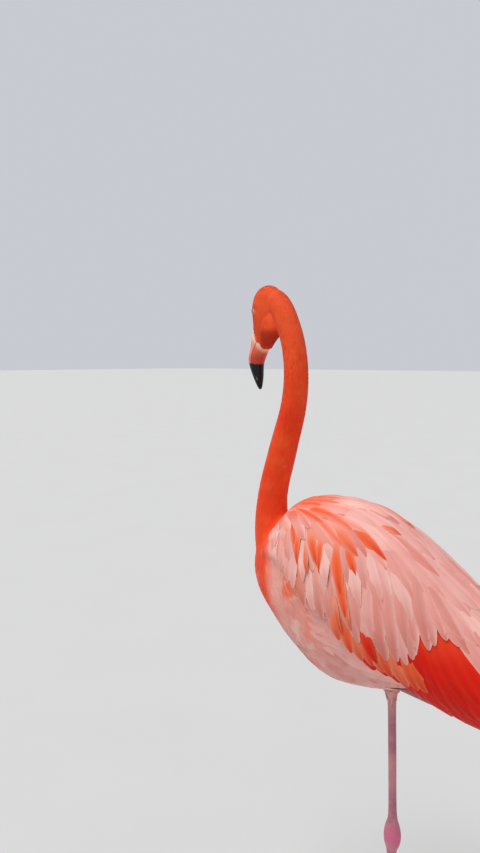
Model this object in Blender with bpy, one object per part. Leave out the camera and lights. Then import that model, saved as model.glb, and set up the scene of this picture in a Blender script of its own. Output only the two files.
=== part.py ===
"""A life-size American flamingo standing on its left leg, the right leg folded under the belly.

Metres, +Z up. The bird faces -X, with its left side to -Y. The origin lies on the flat sole of the
standing foot, so the floor is z = 0.
"""

import math

import bmesh
import bpy
from mathutils import Matrix, Vector

GAP = 0.0004  # clearance between neighbouring pieces

# Body, as upright sections from the breast to the rump: x, top z, bottom z, half width
TORSO = (
    (-0.2365, 0.690, 0.656, 0.009),
    (-0.2310, 0.711, 0.635, 0.023),
    (-0.2150, 0.734, 0.610, 0.038),
    (-0.190, 0.757, 0.585, 0.051),
    (-0.150, 0.779, 0.550, 0.064),
    (-0.090, 0.794, 0.515, 0.074),
    (-0.020, 0.789, 0.517, 0.078),
    (0.050, 0.754, 0.536, 0.076),
    (0.120, 0.701, 0.560, 0.066),
    (0.180, 0.651, 0.575, 0.048),
    (0.225, 0.618, 0.584, 0.028),
    (0.243, 0.606, 0.594, 0.010),
)
TORSO_SIDES = 20

# Folded wing under its feathers: x, top z, bottom z, half width, reach round from the back, thickness
WING = (
    (-0.198, 0.738, 0.600, 0.054, 60, 0.012),
    (-0.150, 0.782, 0.549, 0.073, 72, 0.022),
    (-0.090, 0.797, 0.517, 0.083, 84, 0.022),
    (-0.020, 0.792, 0.517, 0.087, 98, 0.022),
    (0.050, 0.758, 0.528, 0.086, 114, 0.022),
    (0.120, 0.707, 0.523, 0.078, 124, 0.022),
    (0.190, 0.653, 0.518, 0.063, 132, 0.018),
    (0.250, 0.606, 0.521, 0.045, 124, 0.012),
    (0.296, 0.574, 0.528, 0.030, 104, 0.007),
)
# Tiers of wing feathers: how many, the lift of their tips, then rows from the breast to the tail of
# where a tip lies (x and degrees round), its turn below the body's length, its length and width
WING_TIERS = (
    ("primaries", 4, 0.0012, (
        (0.165, 151, 36, 0.12, 0.024),
        (0.225, 146, 28, 0.14, 0.024),
        (0.290, 118, 20, 0.15, 0.022),
        (0.340, 84, 16, 0.16, 0.018),
    )),
    ("secondaries", 6, 0.0024, (
        (0.025, 121, 72, 0.07, 0.038),
        (0.085, 130, 62, 0.08, 0.040),
        (0.140, 143, 54, 0.10, 0.041),
        (0.195, 143, 42, 0.11, 0.040),
        (0.245, 118, 32, 0.11, 0.036),
    )),
    ("greater_coverts", 8, 0.0036, (
        (-0.165, 74, 92, 0.055, 0.034),
        (-0.105, 90, 88, 0.070, 0.037),
        (-0.040, 103, 80, 0.080, 0.040),
        (0.025, 113, 70, 0.085, 0.041),
        (0.085, 114, 58, 0.095, 0.042),
        (0.145, 106, 46, 0.105, 0.042),
        (0.205, 84, 34, 0.110, 0.040),
    )),
    ("tertials", 4, 0.0042, (
        (0.262, 76, 27, 0.13, 0.036),
        (0.290, 52, 20, 0.14, 0.034),
        (0.315, 27, 15, 0.15, 0.032),
        (0.300, 8, 12, 0.14, 0.028),
    )),
    ("median_coverts", 6, 0.0050, (
        (-0.178, 54, 92, 0.042, 0.031),
        (-0.120, 65, 88, 0.052, 0.035),
        (-0.055, 76, 80, 0.060, 0.039),
        (0.015, 84, 70, 0.068, 0.040),
        (0.080, 78, 56, 0.075, 0.040),
        (0.135, 58, 40, 0.085, 0.039),
        (0.180, 34, 28, 0.090, 0.036),
        (0.200, 12, 18, 0.090, 0.032),
    )),
    ("lesser_coverts", 6, 0.0064, (
        (-0.176, 33, 90, 0.030, 0.027),
        (-0.125, 43, 84, 0.038, 0.032),
        (-0.065, 50, 75, 0.045, 0.035),
        (0.000, 50, 62, 0.052, 0.036),
        (0.055, 38, 46, 0.058, 0.036),
        (0.090, 14, 26, 0.062, 0.032),
    )),
)
VANE_EDGE = 0.0006  # thickness of a vane at its edges
VANE_SPINE = 0.0018  # and along its shaft
WING_SIDES = 10

# Neck, from inside the breast up and over to the skull: x, y, z, radius
NECK = (
    (-0.125, 0.0, 0.650, 0.046),
    (-0.176, 0.0, 0.672, 0.042),
    (-0.205, 0.0, 0.714, 0.0325),
    (-0.210, 0.0, 0.781, 0.0250),
    (-0.189, 0.0, 0.865, 0.0228),
    (-0.169, 0.0, 0.935, 0.0208),
    (-0.164, 0.0, 0.985, 0.0198),
    (-0.171, 0.002, 1.033, 0.0196),
    (-0.187, 0.004, 1.0755, 0.0196),
    (-0.204, 0.007, 1.1000, 0.0196),
    (-0.221, 0.010, 1.1085, 0.0192),
    (-0.236, 0.012, 1.1060, 0.0180),
)
NECK_SIDES = 16

# Head frame: the point between the eyes, its turn to the bird's right, and its lean from plumb
EYE_MIDDLE = Vector((-0.245, 0.012, 1.091))
HEAD_TURN = math.radians(13)
HEAD_LEAN = math.radians(0)
# Skull, from the crown towards the bill: distance below the eyes, front, back, half width
SKULL = (
    (-0.0350, -0.0150, -0.0300, 0.0060),
    (-0.0310, -0.0060, -0.0380, 0.0120),
    (-0.0220, 0.0055, -0.0420, 0.0162),
    (-0.0100, 0.0125, -0.0430, 0.0180),
    (0.0020, 0.0150, -0.0420, 0.0184),
    (0.0140, 0.0155, -0.0395, 0.0172),
    (0.0260, 0.0158, -0.0365, 0.0152),
    (0.0360, 0.0165, -0.0325, 0.0136),
    (0.0430, 0.0160, -0.0260, 0.0118),
)
# Throat, from behind the cheeks down to the chin: distance below the eyes, front, back, half width
THROAT = (
    (0.0020, -0.0120, -0.0425, 0.0110),
    (0.0140, -0.0060, -0.0480, 0.0150),
    (0.0240, -0.0020, -0.0510, 0.0154),
    (0.0330, -0.0005, -0.0495, 0.0150),
    (0.0400, -0.0005, -0.0440, 0.0146),
    (0.0470, -0.0030, -0.0345, 0.0140),
    (0.0540, -0.0070, -0.0255, 0.0128),
    (0.0600, -0.0110, -0.0205, 0.0100),
)
# Bill: distance below the eyes, middle, half depth, half width
BILL = (
    (0.0220, -0.0010, 0.0150, 0.0116),
    (0.0300, -0.0005, 0.0160, 0.0122),
    (0.0420, 0.0000, 0.0180, 0.0130),
    (0.0560, 0.0015, 0.0190, 0.0134),
    (0.0680, 0.0055, 0.0190, 0.0132),
    (0.0780, 0.0100, 0.0176, 0.0126),
    (0.0880, 0.0110, 0.0145, 0.0114),
    (0.0990, 0.0090, 0.0118, 0.0102),
    (0.1100, 0.0060, 0.0090, 0.0082),
    (0.1200, 0.0032, 0.0058, 0.0056),
    (0.1290, 0.0010, 0.0020, 0.0022),
)
# Line of the mouth, from the gape to the tip: distance below the eyes, towards the forehead
MOUTH = (
    (0.020, -0.026),
    (0.042, -0.010),
    (0.056, -0.001),
    (0.068, 0.0065),
    (0.078, 0.0105),
    (0.088, 0.0100),
    (0.099, 0.0065),
    (0.110, 0.0025),
    (0.120, -0.0005),
    (0.140, -0.0060),
)
EYE_RADIUS = 0.0052
EYE_OUT = 0.0136  # from the middle of the head to the eyeball's centre

# Standing leg, from the belly to the foot: x, y, z, fore-and-aft radius, sideways radius
SHANK_LEFT = (
    (0.0140, 0.000, 0.5138, 0.0067, 0.0064),
    (0.0168, 0.000, 0.4300, 0.0062, 0.0057),
    (0.0195, 0.000, 0.3380, 0.0063, 0.0058),
    (0.0200, 0.000, 0.3227, 0.0077, 0.0068),
)
ANKLE = (
    (0.0200, 0.000, 0.3220, 0.0078, 0.0069),
    (0.0200, 0.000, 0.3130, 0.0106, 0.0096),
    (0.0202, 0.000, 0.2990, 0.0132, 0.0114),
    (0.0200, 0.000, 0.2850, 0.0120, 0.0104),
    (0.0196, 0.000, 0.2740, 0.0084, 0.0076),
)
TARSUS_LEFT = (
    (0.0196, 0.000, 0.2732, 0.0083, 0.0075),
    (0.0194, 0.000, 0.2600, 0.0066, 0.0056),
    (0.0190, 0.000, 0.1400, 0.0062, 0.0052),
    (0.0190, 0.000, 0.0420, 0.0064, 0.0056),
    (0.0192, 0.000, 0.0224, 0.0078, 0.0072),
)
LEG_SIDES = 12
TOE_ROOT = Vector((0.019, 0.0, 0.0))
# Toes: turn from straight ahead, length, radius at the root
TOES = ((0, 0.086, 0.0062), (40, 0.074, 0.0056), (-40, 0.076, 0.0056))


def clear_scene():
    for old in list(bpy.data.objects):
        bpy.data.objects.remove(old)


def smooth(rows, t, key=1):
    """The row at t of a smooth curve through all rows, where row k is at t = k.

    Rows may be unevenly spaced: their first `key` numbers give the distance between them.
    """
    last = len(rows) - 1
    t = min(max(t, 0.0), last)
    k = min(int(t), last - 1)
    f = t - k
    start, end = rows[k], rows[k + 1]
    before, after = rows[max(k - 1, 0)], rows[min(k + 2, last)]
    span = math.dist(start[:key], end[:key])
    lead = math.dist(before[:key], start[:key]) if k > 0 else 0.0
    tail = math.dist(end[:key], after[:key]) if k + 2 <= last else 0.0
    row = []
    for a, b, c, d in zip(before, start, end, after):
        leave = (c - a) * span / (lead + span)
        reach = (d - b) * span / (span + tail)
        row.append(
            (1 + 2 * f) * (1 - f) ** 2 * b
            + f * (1 - f) ** 2 * leave
            + f * f * (3 - 2 * f) * c
            + f * f * (f - 1) * reach
        )
    return tuple(row)


def place(rows, x):
    """Where x falls along rows that are sorted by their first number."""
    for k in range(len(rows) - 1):
        if x < rows[k + 1][0]:
            return k + (x - rows[k][0]) / (rows[k + 1][0] - rows[k][0])
    return len(rows) - 1


def mesh_object(bm, name):
    bmesh.ops.recalc_face_normals(bm, faces=bm.faces)
    if bm.calc_volume(signed=True) < 0:
        bmesh.ops.reverse_faces(bm, faces=bm.faces)
    mesh = bpy.data.meshes.new(name)
    bm.to_mesh(mesh)
    bm.free()
    obj = bpy.data.objects.new(name, mesh)
    bpy.context.scene.collection.objects.link(obj)
    return obj


def sides_of(rings):
    """Triangles between rings, split alike however far the rings are grown."""
    bm = bmesh.new()
    placed = [[bm.verts.new(point) for point in ring] for ring in rings]
    for near, far in zip(placed, placed[1:]):
        for k in range(len(near)):
            j = (k + 1) % len(near)
            bm.faces.new((near[k], near[j], far[j]))
            bm.faces.new((near[k], far[j], far[k]))
    return bm, placed


def loft(rings, name):
    """A closed mesh object through rings of as many points each, its ends filled."""
    bm, placed = sides_of(rings)
    bm.faces.new(reversed(placed[0]))
    bm.faces.new(placed[-1])
    return mesh_object(bm, name)


def largest_only(obj):
    """Keeps the largest closed surface of a mesh object."""
    bm = bmesh.new()
    bm.from_mesh(obj.data)
    bmesh.ops.remove_doubles(bm, verts=bm.verts, dist=1e-6)
    left = set(bm.faces)
    groups = []
    while left:
        group = {left.pop()}
        edge_of = list(group)
        while edge_of:
            face = edge_of.pop()
            for edge in face.edges:
                for other in edge.link_faces:
                    if other in left:
                        left.discard(other)
                        group.add(other)
                        edge_of.append(other)
        groups.append(group)
    groups.sort(key=lambda group: sum(face.calc_area() for face in group))
    spare = [face for group in groups[:-1] for face in group]
    bmesh.ops.delete(bm, geom=spare, context="FACES")
    bmesh.ops.triangulate(bm, faces=bm.faces)
    bm.to_mesh(obj.data)
    bm.free()
    return obj


def combine(base, others, operation, solver="EXACT"):
    """One Boolean of base with all the others, applied; the others are used up."""
    group = bpy.data.collections.new("operands")
    for other in others:
        group.objects.link(other)
    step = base.modifiers.new("combine", "BOOLEAN")
    step.operation = operation
    step.solver = solver
    step.operand_type = "COLLECTION"
    step.collection = group
    bpy.context.view_layer.update()
    graph = bpy.context.evaluated_depsgraph_get()
    result = bpy.data.meshes.new_from_object(base.evaluated_get(graph))
    base.modifiers.clear()
    base.data = result
    for other in others:
        bpy.data.objects.remove(other)
    bpy.data.collections.remove(group)
    return base


def copied(obj, name):
    twin = obj.copy()
    twin.data = obj.data.copy()
    twin.name = name
    bpy.context.scene.collection.objects.link(twin)
    return twin


def half_space(point, normal, name, reach=1.5):
    """A large box that fills the side of a plane to which its normal points."""
    bm = bmesh.new()
    bmesh.ops.create_cube(bm, size=2 * reach)
    turn = Vector(normal).to_track_quat("Z", "Y").to_matrix().to_4x4()
    shift = Matrix.Translation(Vector(point) + Vector(normal).normalized() * reach)
    bmesh.ops.transform(bm, matrix=shift @ turn, verts=bm.verts)
    return mesh_object(bm, name)


def split(obj, point, normal, ahead_name, gap=GAP):
    """Parts an object at a plane with a thin gap: obj keeps the side behind it."""
    normal = Vector(normal).normalized()
    ahead = copied(obj, ahead_name)
    point = Vector(point)
    combine(ahead, [half_space(point + normal * gap / 2, normal, "near")], "INTERSECT")
    combine(obj, [half_space(point - normal * gap / 2, -normal, "far")], "INTERSECT")
    return ahead


def ring_along(center, along, across, fore, side, sides):
    """An oval ring round a line, its side radius along `across`."""
    along = along.normalized()
    across = (across - across.dot(along) * along).normalized()
    up = along.cross(across)
    return [
        center + fore * math.cos(a) * up + side * math.sin(a) * across
        for a in (2 * math.pi * k / sides for k in range(sides))
    ]


def body_ring(row, sides, grow=0.0):
    x, top, bottom, half = row[:4]
    middle = (top + bottom) / 2
    height = (top - bottom) / 2 + grow
    return [
        Vector((x, -(half + grow) * math.sin(a), middle + height * math.cos(a)))
        for a in (2 * math.pi * k / sides for k in range(sides))
    ]


def torso_rings(grow=0.0):
    steps = (len(TORSO) - 1) * 2
    rings = [body_ring(smooth(TORSO, k / 2), TORSO_SIDES, grow) for k in range(steps + 1)]
    for ring, shift in ((rings[0], -grow), (rings[-1], grow)):
        for point in ring:
            point.x += shift
    return rings


def neck_rings(grow=0.0, start=0.0, per_row=2):
    last = len(NECK) - 1
    steps = round((last - start) * per_row)
    rings = []
    for k in range(steps + 1):
        t = start + (last - start) * k / steps
        row = smooth(NECK, t, 3)
        ahead, behind = smooth(NECK, t + 0.05, 3), smooth(NECK, t - 0.05, 3)
        along = Vector(ahead[:3]) - Vector(behind[:3])
        radius = row[3] + grow
        rings.append(
            ring_along(Vector(row[:3]), along, Vector((0, 1, 0)), radius, radius, NECK_SIDES)
        )
    return rings


def head_point(down, front, side):
    """A point of the head frame: below the eyes, towards the forehead, and to the bird's left."""
    ahead = Vector((-math.cos(HEAD_TURN), math.sin(HEAD_TURN), 0))
    left = Vector((-math.sin(HEAD_TURN), -math.cos(HEAD_TURN), 0))
    plumb = Vector((0, 0, -1))
    along = math.cos(HEAD_LEAN) * plumb + math.sin(HEAD_LEAN) * ahead
    outward = math.cos(HEAD_LEAN) * ahead - math.sin(HEAD_LEAN) * plumb
    return EYE_MIDDLE + down * along + front * outward + side * left


def head_rings(rows, sides, grow=0.0):
    rings = []
    for down, front, back, half in rows:
        middle, reach = (front + back) / 2, (front - back) / 2 + grow
        rings.append(
            [
                head_point(down, middle + reach * math.cos(a), (half + grow) * math.sin(a))
                for a in (2 * math.pi * k / sides for k in range(sides))
            ]
        )
    return rings


def fine(rows, per_row=2):
    steps = (len(rows) - 1) * per_row
    return [smooth(rows, k / per_row) for k in range(steps + 1)]


def plate(outline, low, high, name):
    """A closed prism in the head frame, from an outline of (down, front) points, across the head."""
    rings = [[head_point(down, front, side) for down, front in outline] for side in (low, high)]
    return loft(rings, name)


def ball(center, radius, name, segments=14, rings=8):
    bm = bmesh.new()
    bmesh.ops.create_uvsphere(bm, u_segments=segments, v_segments=rings, radius=radius)
    bmesh.ops.translate(bm, vec=center, verts=bm.verts)
    return mesh_object(bm, name)


def lid_ring(side, name):
    """A lid: a low oval ring round an eye, seen from the side of the head."""
    around, across = 14, 5
    rings = []
    for k in range(around):
        a = 2 * math.pi * k / around
        ring = []
        for j in range(across):
            b = 2 * math.pi * j / across
            far = 0.0054 + 0.0012 * math.cos(b)
            out = EYE_OUT + 0.0036 + 0.0012 * math.sin(b)
            ring.append(head_point(far * math.cos(a) * 0.88, far * math.sin(a), side * out))
        rings.append(ring)
    bm = bmesh.new()
    placed = [[bm.verts.new(point) for point in ring] for ring in rings]
    for k in range(around):
        near, far = placed[k], placed[(k + 1) % around]
        for j in range(across):
            i = (j + 1) % across
            bm.faces.new((near[j], near[i], far[i], far[j]))
    return mesh_object(bm, name)


def nostril(side, name):
    """A slit that is cut into the upper bill near its root."""
    rings = []
    for k in range(7):
        t = -1 + 2 * k / 6
        reach = 0.0009 * math.sqrt(max(0.0, 1 - t * t)) + 0.00015
        ring = []
        for j in range(8):
            a = 2 * math.pi * j / 8
            ring.append(
                head_point(
                    0.0545 + 0.0065 * t,
                    0.0125 + 0.0015 * t + reach * math.cos(a),
                    side * (0.0105 + 0.004 * math.sin(a)),
                )
            )
        rings.append(ring)
    return loft(rings, name)


def make_flesh():
    """Torso, neck and head as one closed skin, parted by thin cuts."""
    torso = loft(torso_rings(), "torso")
    neck = loft(neck_rings(), "neck_piece")
    skull = loft(head_rings(fine(SKULL), 16), "skull_piece")
    throat = loft(head_rings(fine(THROAT), 16), "throat_piece")
    combine(torso, [neck, skull, throat], "UNION")
    largest_only(torso)
    neck_lower = split(torso, (-0.195, 0, 0.757), (-0.75, 0, 0.66), "neck_lower")
    neck_middle = split(neck_lower, (-0.203, 0, 0.815), (0.16, 0, 1), "neck_middle")
    neck_upper = split(neck_middle, (-0.166, 0, 0.955), (0.05, 0, 1), "neck_upper")
    ahead = Vector((-math.cos(HEAD_TURN), math.sin(HEAD_TURN), 0.12))
    head = split(neck_upper, (-0.2065, 0.007, 1.10), ahead, "head")
    for obj in (torso, neck_lower, neck_middle, neck_upper, head):
        largest_only(obj)
    return torso, neck_lower, neck_middle, neck_upper, head


def make_head_details(head):
    """Eyes in their sockets with lids, and the bill in two halves along the line of the mouth."""
    lids = [lid_ring(side, f"lid_{side}") for side in (1, -1)]
    combine(head, lids, "UNION")
    sockets = []
    for side, name in ((1, "eye_left"), (-1, "eye_right")):
        center = head_point(0, 0, side * EYE_OUT)
        ball(center, EYE_RADIUS, name)
        sockets.append(ball(center, EYE_RADIUS + GAP, f"socket_{name}"))
    combine(head, sockets, "DIFFERENCE")
    rows = [(down, middle + deep, middle - deep, half) for down, middle, deep, half in BILL]
    bill = loft(head_rings(fine(rows), 16), "bill_upper")
    edge = 0.06
    front = [(down, across + GAP / 2) for down, across in MOUTH] + [(0.14, edge), (0.02, edge)]
    back = [(down, across - GAP / 2) for down, across in MOUTH] + [(0.14, -edge), (0.02, -edge)]
    lower = copied(bill, "bill_lower")
    combine(bill, [plate(front, -edge, edge, "front_side")], "INTERSECT")
    combine(lower, [plate(back, -edge, edge, "back_side")], "INTERSECT")
    root = head_point(0.0375, 0.0, 0.0)
    beyond = head_point(0.0475, 0.0060, 0.0) - root
    for piece in (bill, lower):
        combine(piece, [half_space(root + beyond.normalized() * GAP / 2, beyond, "ahead")], "INTERSECT")
        largest_only(piece)
    combine(bill, [nostril(side, f"nostril_{side}") for side in (1, -1)], "DIFFERENCE")
    largest_only(bill)
    combine(head, [half_space(root - beyond.normalized() * GAP / 2, beyond, "ahead")], "DIFFERENCE")
    largest_only(head)


def wing_point(x, degrees, lift, side):
    """A point above the folded wing's surface, `degrees` round from the back's middle line."""
    row = smooth(WING, place(WING, x))
    beyond = max(0.0, x - WING[-1][0])
    middle = (row[1] + row[2]) / 2 - 0.35 * beyond
    height = (row[1] - row[2]) / 2 + lift
    half = row[3] + lift - 0.1 * beyond
    a = math.radians(degrees)
    return Vector((x, -side * half * math.sin(a), middle + height * math.cos(a)))


def wing_core(side, name, grow=0.0, last=None, steps=12):
    """The folded wing's plain body: a shell that lies on the torso's side."""
    rings = []
    first, last = WING[0][0], last or WING[-1][0]
    for k in range(steps + 1):
        x = first + (last - first) * k / steps
        row = smooth(WING, place(WING, x))
        reach, thick = row[4], row[5]
        angles = [2 + (reach - 2) * j / WING_SIDES for j in range(WING_SIDES + 1)]
        outer = [wing_point(x, a, grow, side) for a in angles]
        inner = [wing_point(x, a, -thick - grow, side) for a in angles]
        rings.append(outer + inner[::-1])
    bm, placed = sides_of(rings)
    count = len(placed[0])
    for ring in (placed[0], placed[-1]):
        for k in range(WING_SIDES):
            bm.faces.new((ring[k], ring[k + 1], ring[count - 2 - k], ring[count - 1 - k]))
    return mesh_object(bm, name)


def wing_vane(side, tip, turn, length, width, lift, roll, name):
    """A feather on the folded wing: a thin tapered plate from inside the core to its lifted tip."""
    ahead, down = math.cos(math.radians(turn)), math.sin(math.radians(turn))
    x, degrees = tip
    rings = []
    # part of the length back from the tip, part of the width, part of the lift
    for back, wide, high in ((0.0, 0.30, 1.0), (0.14, 0.82, 0.95), (0.55, 1.0, 0.6), (1.0, 0.75, -0.4)):
        at_x = x - back * length * ahead
        middle = smooth(WING, place(WING, at_x))
        radius = 0.5 * (middle[3] + (middle[1] - middle[2]) / 2)
        at_degrees = degrees - math.degrees(back * length * down / radius)
        half = wide * width / 2
        ring = []
        for across, thick, tilt in (
            (-1, VANE_EDGE, -roll), (0, VANE_SPINE, 0), (1, VANE_EDGE, roll),
            (1, 0, roll), (0, 0, 0), (-1, 0, -roll),
        ):
            ring.append(
                wing_point(
                    at_x - across * half * down,
                    at_degrees + math.degrees(across * half * ahead / radius),
                    lift * high + tilt + thick,
                    side,
                )
            )
        rings.append(ring)
    return loft(rings, name)


def wing_vanes(side):
    vanes = []
    for tier, count, lift, rows in WING_TIERS:
        for k in range(count):
            x, degrees, turn, length, width = smooth(rows, (len(rows) - 1) * k / (count - 1), 1)
            vane = wing_vane(side, (x, degrees), turn, length, width, lift, 0.0011, f"{tier}_{k}")
            vanes.append(vane)
    return vanes


def make_wing(side, name):
    core = wing_core(side, name)
    combine(core, wing_vanes(side), "UNION")
    largest_only(core)
    edge = [
        loft(torso_rings(GAP), "torso_room"),
        loft(neck_rings(GAP), "neck_room"),
        half_space((0, -side * GAP / 2, 0), (0, side, 0), "other_side"),
    ]
    for cutter in edge:
        combine(core, [cutter], "DIFFERENCE")
    return largest_only(core)


# Middle line of the tail, from the rump: x, z, half width, thickness
TAIL = (
    (0.228, 0.600, 0.012, 0.012),
    (0.255, 0.579, 0.016, 0.011),
    (0.290, 0.555, 0.018, 0.008),
    (0.320, 0.537, 0.016, 0.004),
)
TAIL_VANES = 7
TAIL_LENGTH = 0.105  # of the part of each feather that shows


def tail_vane(turn, length, width, lift, name):
    """A tail feather, from inside the tail's core to its rounded tip."""
    root = Vector((0.262, 0, 0.5745 + lift))
    ahead = Vector((0.905, 0, -0.425))
    aside = Vector((0, -1, 0))
    above = Vector((0.425, 0, 0.905))
    along = math.cos(turn) * ahead + math.sin(turn) * aside
    across = math.cos(turn) * aside - math.sin(turn) * ahead
    rings = []
    for far, wide in ((0.0, 0.6), (0.5, 0.9), (0.88, 0.85), (1.0, 0.35)):
        center = root + along * length * far + above * (0.002 * far * far)
        half = wide * width / 2
        ring = []
        for step, thick in ((-1, VANE_EDGE), (0, VANE_SPINE), (1, VANE_EDGE), (1, 0), (0, 0), (-1, 0)):
            ring.append(center + across * half * step + above * thick)
        rings.append(ring)
    return loft(rings, name)


def make_tail():
    """The tail, below the rump and between the wing tips."""
    rings = []
    for k in range(7):
        x, z, half, thick = smooth(TAIL, (len(TAIL) - 1) * k / 6)
        center = Vector((x, 0, z))
        rings.append(ring_along(center, Vector((0.85, 0, -0.52)), Vector((0, 1, 0)), thick / 2, half, 14))
    tail = loft(rings, "tail")
    vanes = []
    for k in range(TAIL_VANES):
        out = k - (TAIL_VANES - 1) / 2
        turn = math.radians(3.6 * out)
        length = TAIL_LENGTH - 0.0012 * out * out
        lift = 0.0032 - 0.0007 * abs(out) + 0.00015 * out
        vanes.append(tail_vane(turn, length, 0.021, lift, f"rectrix_{k}"))
    combine(tail, vanes, "UNION")
    rooms = [loft(torso_rings(GAP), "torso_room")]
    rooms += [wing_core(side, f"wing_room_{side}", 0.0012, 0.362) for side in (1, -1)]
    for room in rooms:
        combine(tail, [room], "DIFFERENCE")
    return largest_only(tail)


def leg_piece(rows, name, sides=LEG_SIDES, per_row=2):
    rings = []
    last = len(rows) - 1
    for k in range(last * per_row + 1):
        t = k / per_row
        row = smooth(rows, t, 3)
        along = Vector(smooth(rows, t + 0.1, 3)[:3]) - Vector(smooth(rows, t - 0.1, 3)[:3])
        rings.append(ring_along(Vector(row[:3]), along, Vector((0, 1, 0)), row[3], row[4], sides))
    return loft(rings, name)


def toe(root, turn, length, radius, name, rise=0.0):
    """A toe with joints and a claw, flat underneath on z = 0."""
    ahead = Vector((-math.cos(turn), math.sin(turn), 0))
    across = Vector((0, 0, 1)).cross(ahead)
    rings = []
    steps = 10
    for k in range(steps + 1):
        t = k / steps
        swell = 1 + 0.12 * math.cos(t * 3 * 2 * math.pi)
        wide = radius * (1 - 0.55 * t) * swell
        tall = radius * (1.75 - 1.15 * t) * swell
        if t > 0.85:
            fade = (1 - t) / 0.15
            wide = 0.0011 + (wide - 0.0011) * fade * 0.75
            tall = 0.0016 + (tall - 0.0016) * fade * 0.75
        center = root + ahead * length * t
        ring = []
        for j in range(8):
            a = math.pi * j / 7
            ring.append(center + across * wide * math.cos(a) + Vector((0, 0, tall * math.sin(a) ** 0.8)))
        rings.append(ring)
    return loft(rings, name)


def web(root, turns, name):
    """The web between two toes, thin and hollow-edged in front."""
    (turn_a, length_a), (turn_b, length_b) = turns
    bm = bmesh.new()
    points = [root + Vector((0.0, 0, 0))]
    for k in range(7):
        t = k / 6
        turn = turn_a + (turn_b - turn_a) * t
        length = (length_a * (1 - t) + length_b * t) * (0.80 - 0.18 * math.sin(math.pi * t))
        points.append(root + Vector((-math.cos(turn), math.sin(turn), 0)) * length)
    low = [bm.verts.new(p + Vector((0, 0, 0.0004))) for p in points]
    high = [bm.verts.new(p + Vector((0, 0, 0.0020 if k else 0.0040))) for k, p in enumerate(points)]
    for k in range(1, len(points) - 1):
        bm.faces.new((low[0], low[k + 1], low[k]))
        bm.faces.new((high[0], high[k], high[k + 1]))
    count = len(points)
    for k in range(count):
        j = (k + 1) % count
        bm.faces.new((low[k], low[j], high[j], high[k]))
    return mesh_object(bm, name)


def make_foot():
    foot = loft(
        [
            ring_along(Vector((0.0195, 0, z)), Vector((0, 0, -1)), Vector((0, 1, 0)), fore, side, LEG_SIDES)
            for z, fore, side in ((0.0216, 0.0078, 0.0072), (0.012, 0.0090, 0.0086), (0.004, 0.0096, 0.0092), (0, 0.0080, 0.0078))
        ],
        "foot_left",
    )
    pieces = []
    for turn, length, radius in TOES:
        pieces.append(toe(TOE_ROOT, math.radians(turn), length, radius, f"toe_{turn}"))
    pieces.append(toe(TOE_ROOT + Vector((0.002, 0, 0)), math.radians(168), 0.026, 0.0040, "toe_hind"))
    for other in (TOES[1], TOES[2]):
        turns = ((math.radians(TOES[0][0]), TOES[0][1]), (math.radians(other[0]), other[1]))
        pieces.append(web(TOE_ROOT, turns, f"web_{other[0]}"))
    combine(foot, pieces, "UNION")
    return largest_only(foot)


# Folded right leg: the shank runs back from the belly, the tarsus forward under it
THIGH_RIGHT = (
    (-0.0300, 0.043, 0.5900, 0.0230, 0.0200),
    (0.0100, 0.041, 0.5690, 0.0220, 0.0190),
    (0.0420, 0.036, 0.5530, 0.0145, 0.0135),
    (0.0610, 0.033, 0.5425, 0.0086, 0.0082),
)
SHANK_RIGHT = (
    (0.0500, 0.034, 0.5450, 0.0067, 0.0065),
    (0.1200, 0.026, 0.5345, 0.0061, 0.0058),
    (0.1950, 0.022, 0.5270, 0.0063, 0.0060),
    (0.2300, 0.021, 0.5200, 0.0082, 0.0076),
)
# Bent ankle of the folded leg, from its upper end to its lower end
ANKLE_RIGHT = (
    (0.2230, 0.021, 0.5325, 0.0030, 0.0030),
    (0.2270, 0.021, 0.5285, 0.0090, 0.0078),
    (0.2310, 0.021, 0.5185, 0.0124, 0.0104),
    (0.2320, 0.021, 0.5095, 0.0130, 0.0110),
    (0.2290, 0.021, 0.4995, 0.0112, 0.0096),
    (0.2240, 0.021, 0.4915, 0.0074, 0.0066),
    (0.2215, 0.021, 0.4890, 0.0026, 0.0024),
)
TARSUS_RIGHT = (
    (0.2280, 0.021, 0.4990, 0.0084, 0.0076),
    (0.2000, 0.022, 0.5010, 0.0062, 0.0056),
    (0.1000, 0.027, 0.5085, 0.0058, 0.0050),
    (-0.0150, 0.037, 0.5150, 0.0060, 0.0054),
    (-0.0460, 0.040, 0.5170, 0.0074, 0.0070),
)
# Closed toes of the folded foot, side by side
FOLDED_FOOT = (
    (-0.0472, 0.040, 0.5171, 0.0072, 0.0074),
    (-0.0560, 0.041, 0.5180, 0.0076, 0.0098),
    (-0.0750, 0.042, 0.5215, 0.0062, 0.0110),
    (-0.1000, 0.042, 0.5290, 0.0050, 0.0100),
    (-0.1230, 0.040, 0.5400, 0.0036, 0.0070),
    (-0.1350, 0.039, 0.5480, 0.0014, 0.0022),
)
THIGH_LEFT = (
    (0.0090, -0.002, 0.5500, 0.0200, 0.0180),
    (0.0115, 0.000, 0.5350, 0.0160, 0.0145),
    (0.0135, 0.000, 0.5220, 0.0104, 0.0098),
    (0.0140, 0.000, 0.5145, 0.0078, 0.0076),
)


def fattened(rows, grow):
    """The same rows, wider and longer all round by `grow`."""
    wider = [(Vector(row[:3]), row[3] + grow, row[4] + grow) for row in rows]
    ends = ((0, wider[0][0] - wider[1][0]), (-1, wider[-1][0] - wider[-2][0]))
    for index, outward in ends:
        center, fore, side = wider[index]
        wider[index] = (center + outward.normalized() * grow, fore, side)
    return [(*center, fore, side) for center, fore, side in wider]


def make_thigh(rows, name):
    thigh = leg_piece(rows, name, 16)
    combine(thigh, [loft(torso_rings(GAP), "torso_room")], "DIFFERENCE")
    return largest_only(thigh)


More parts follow.
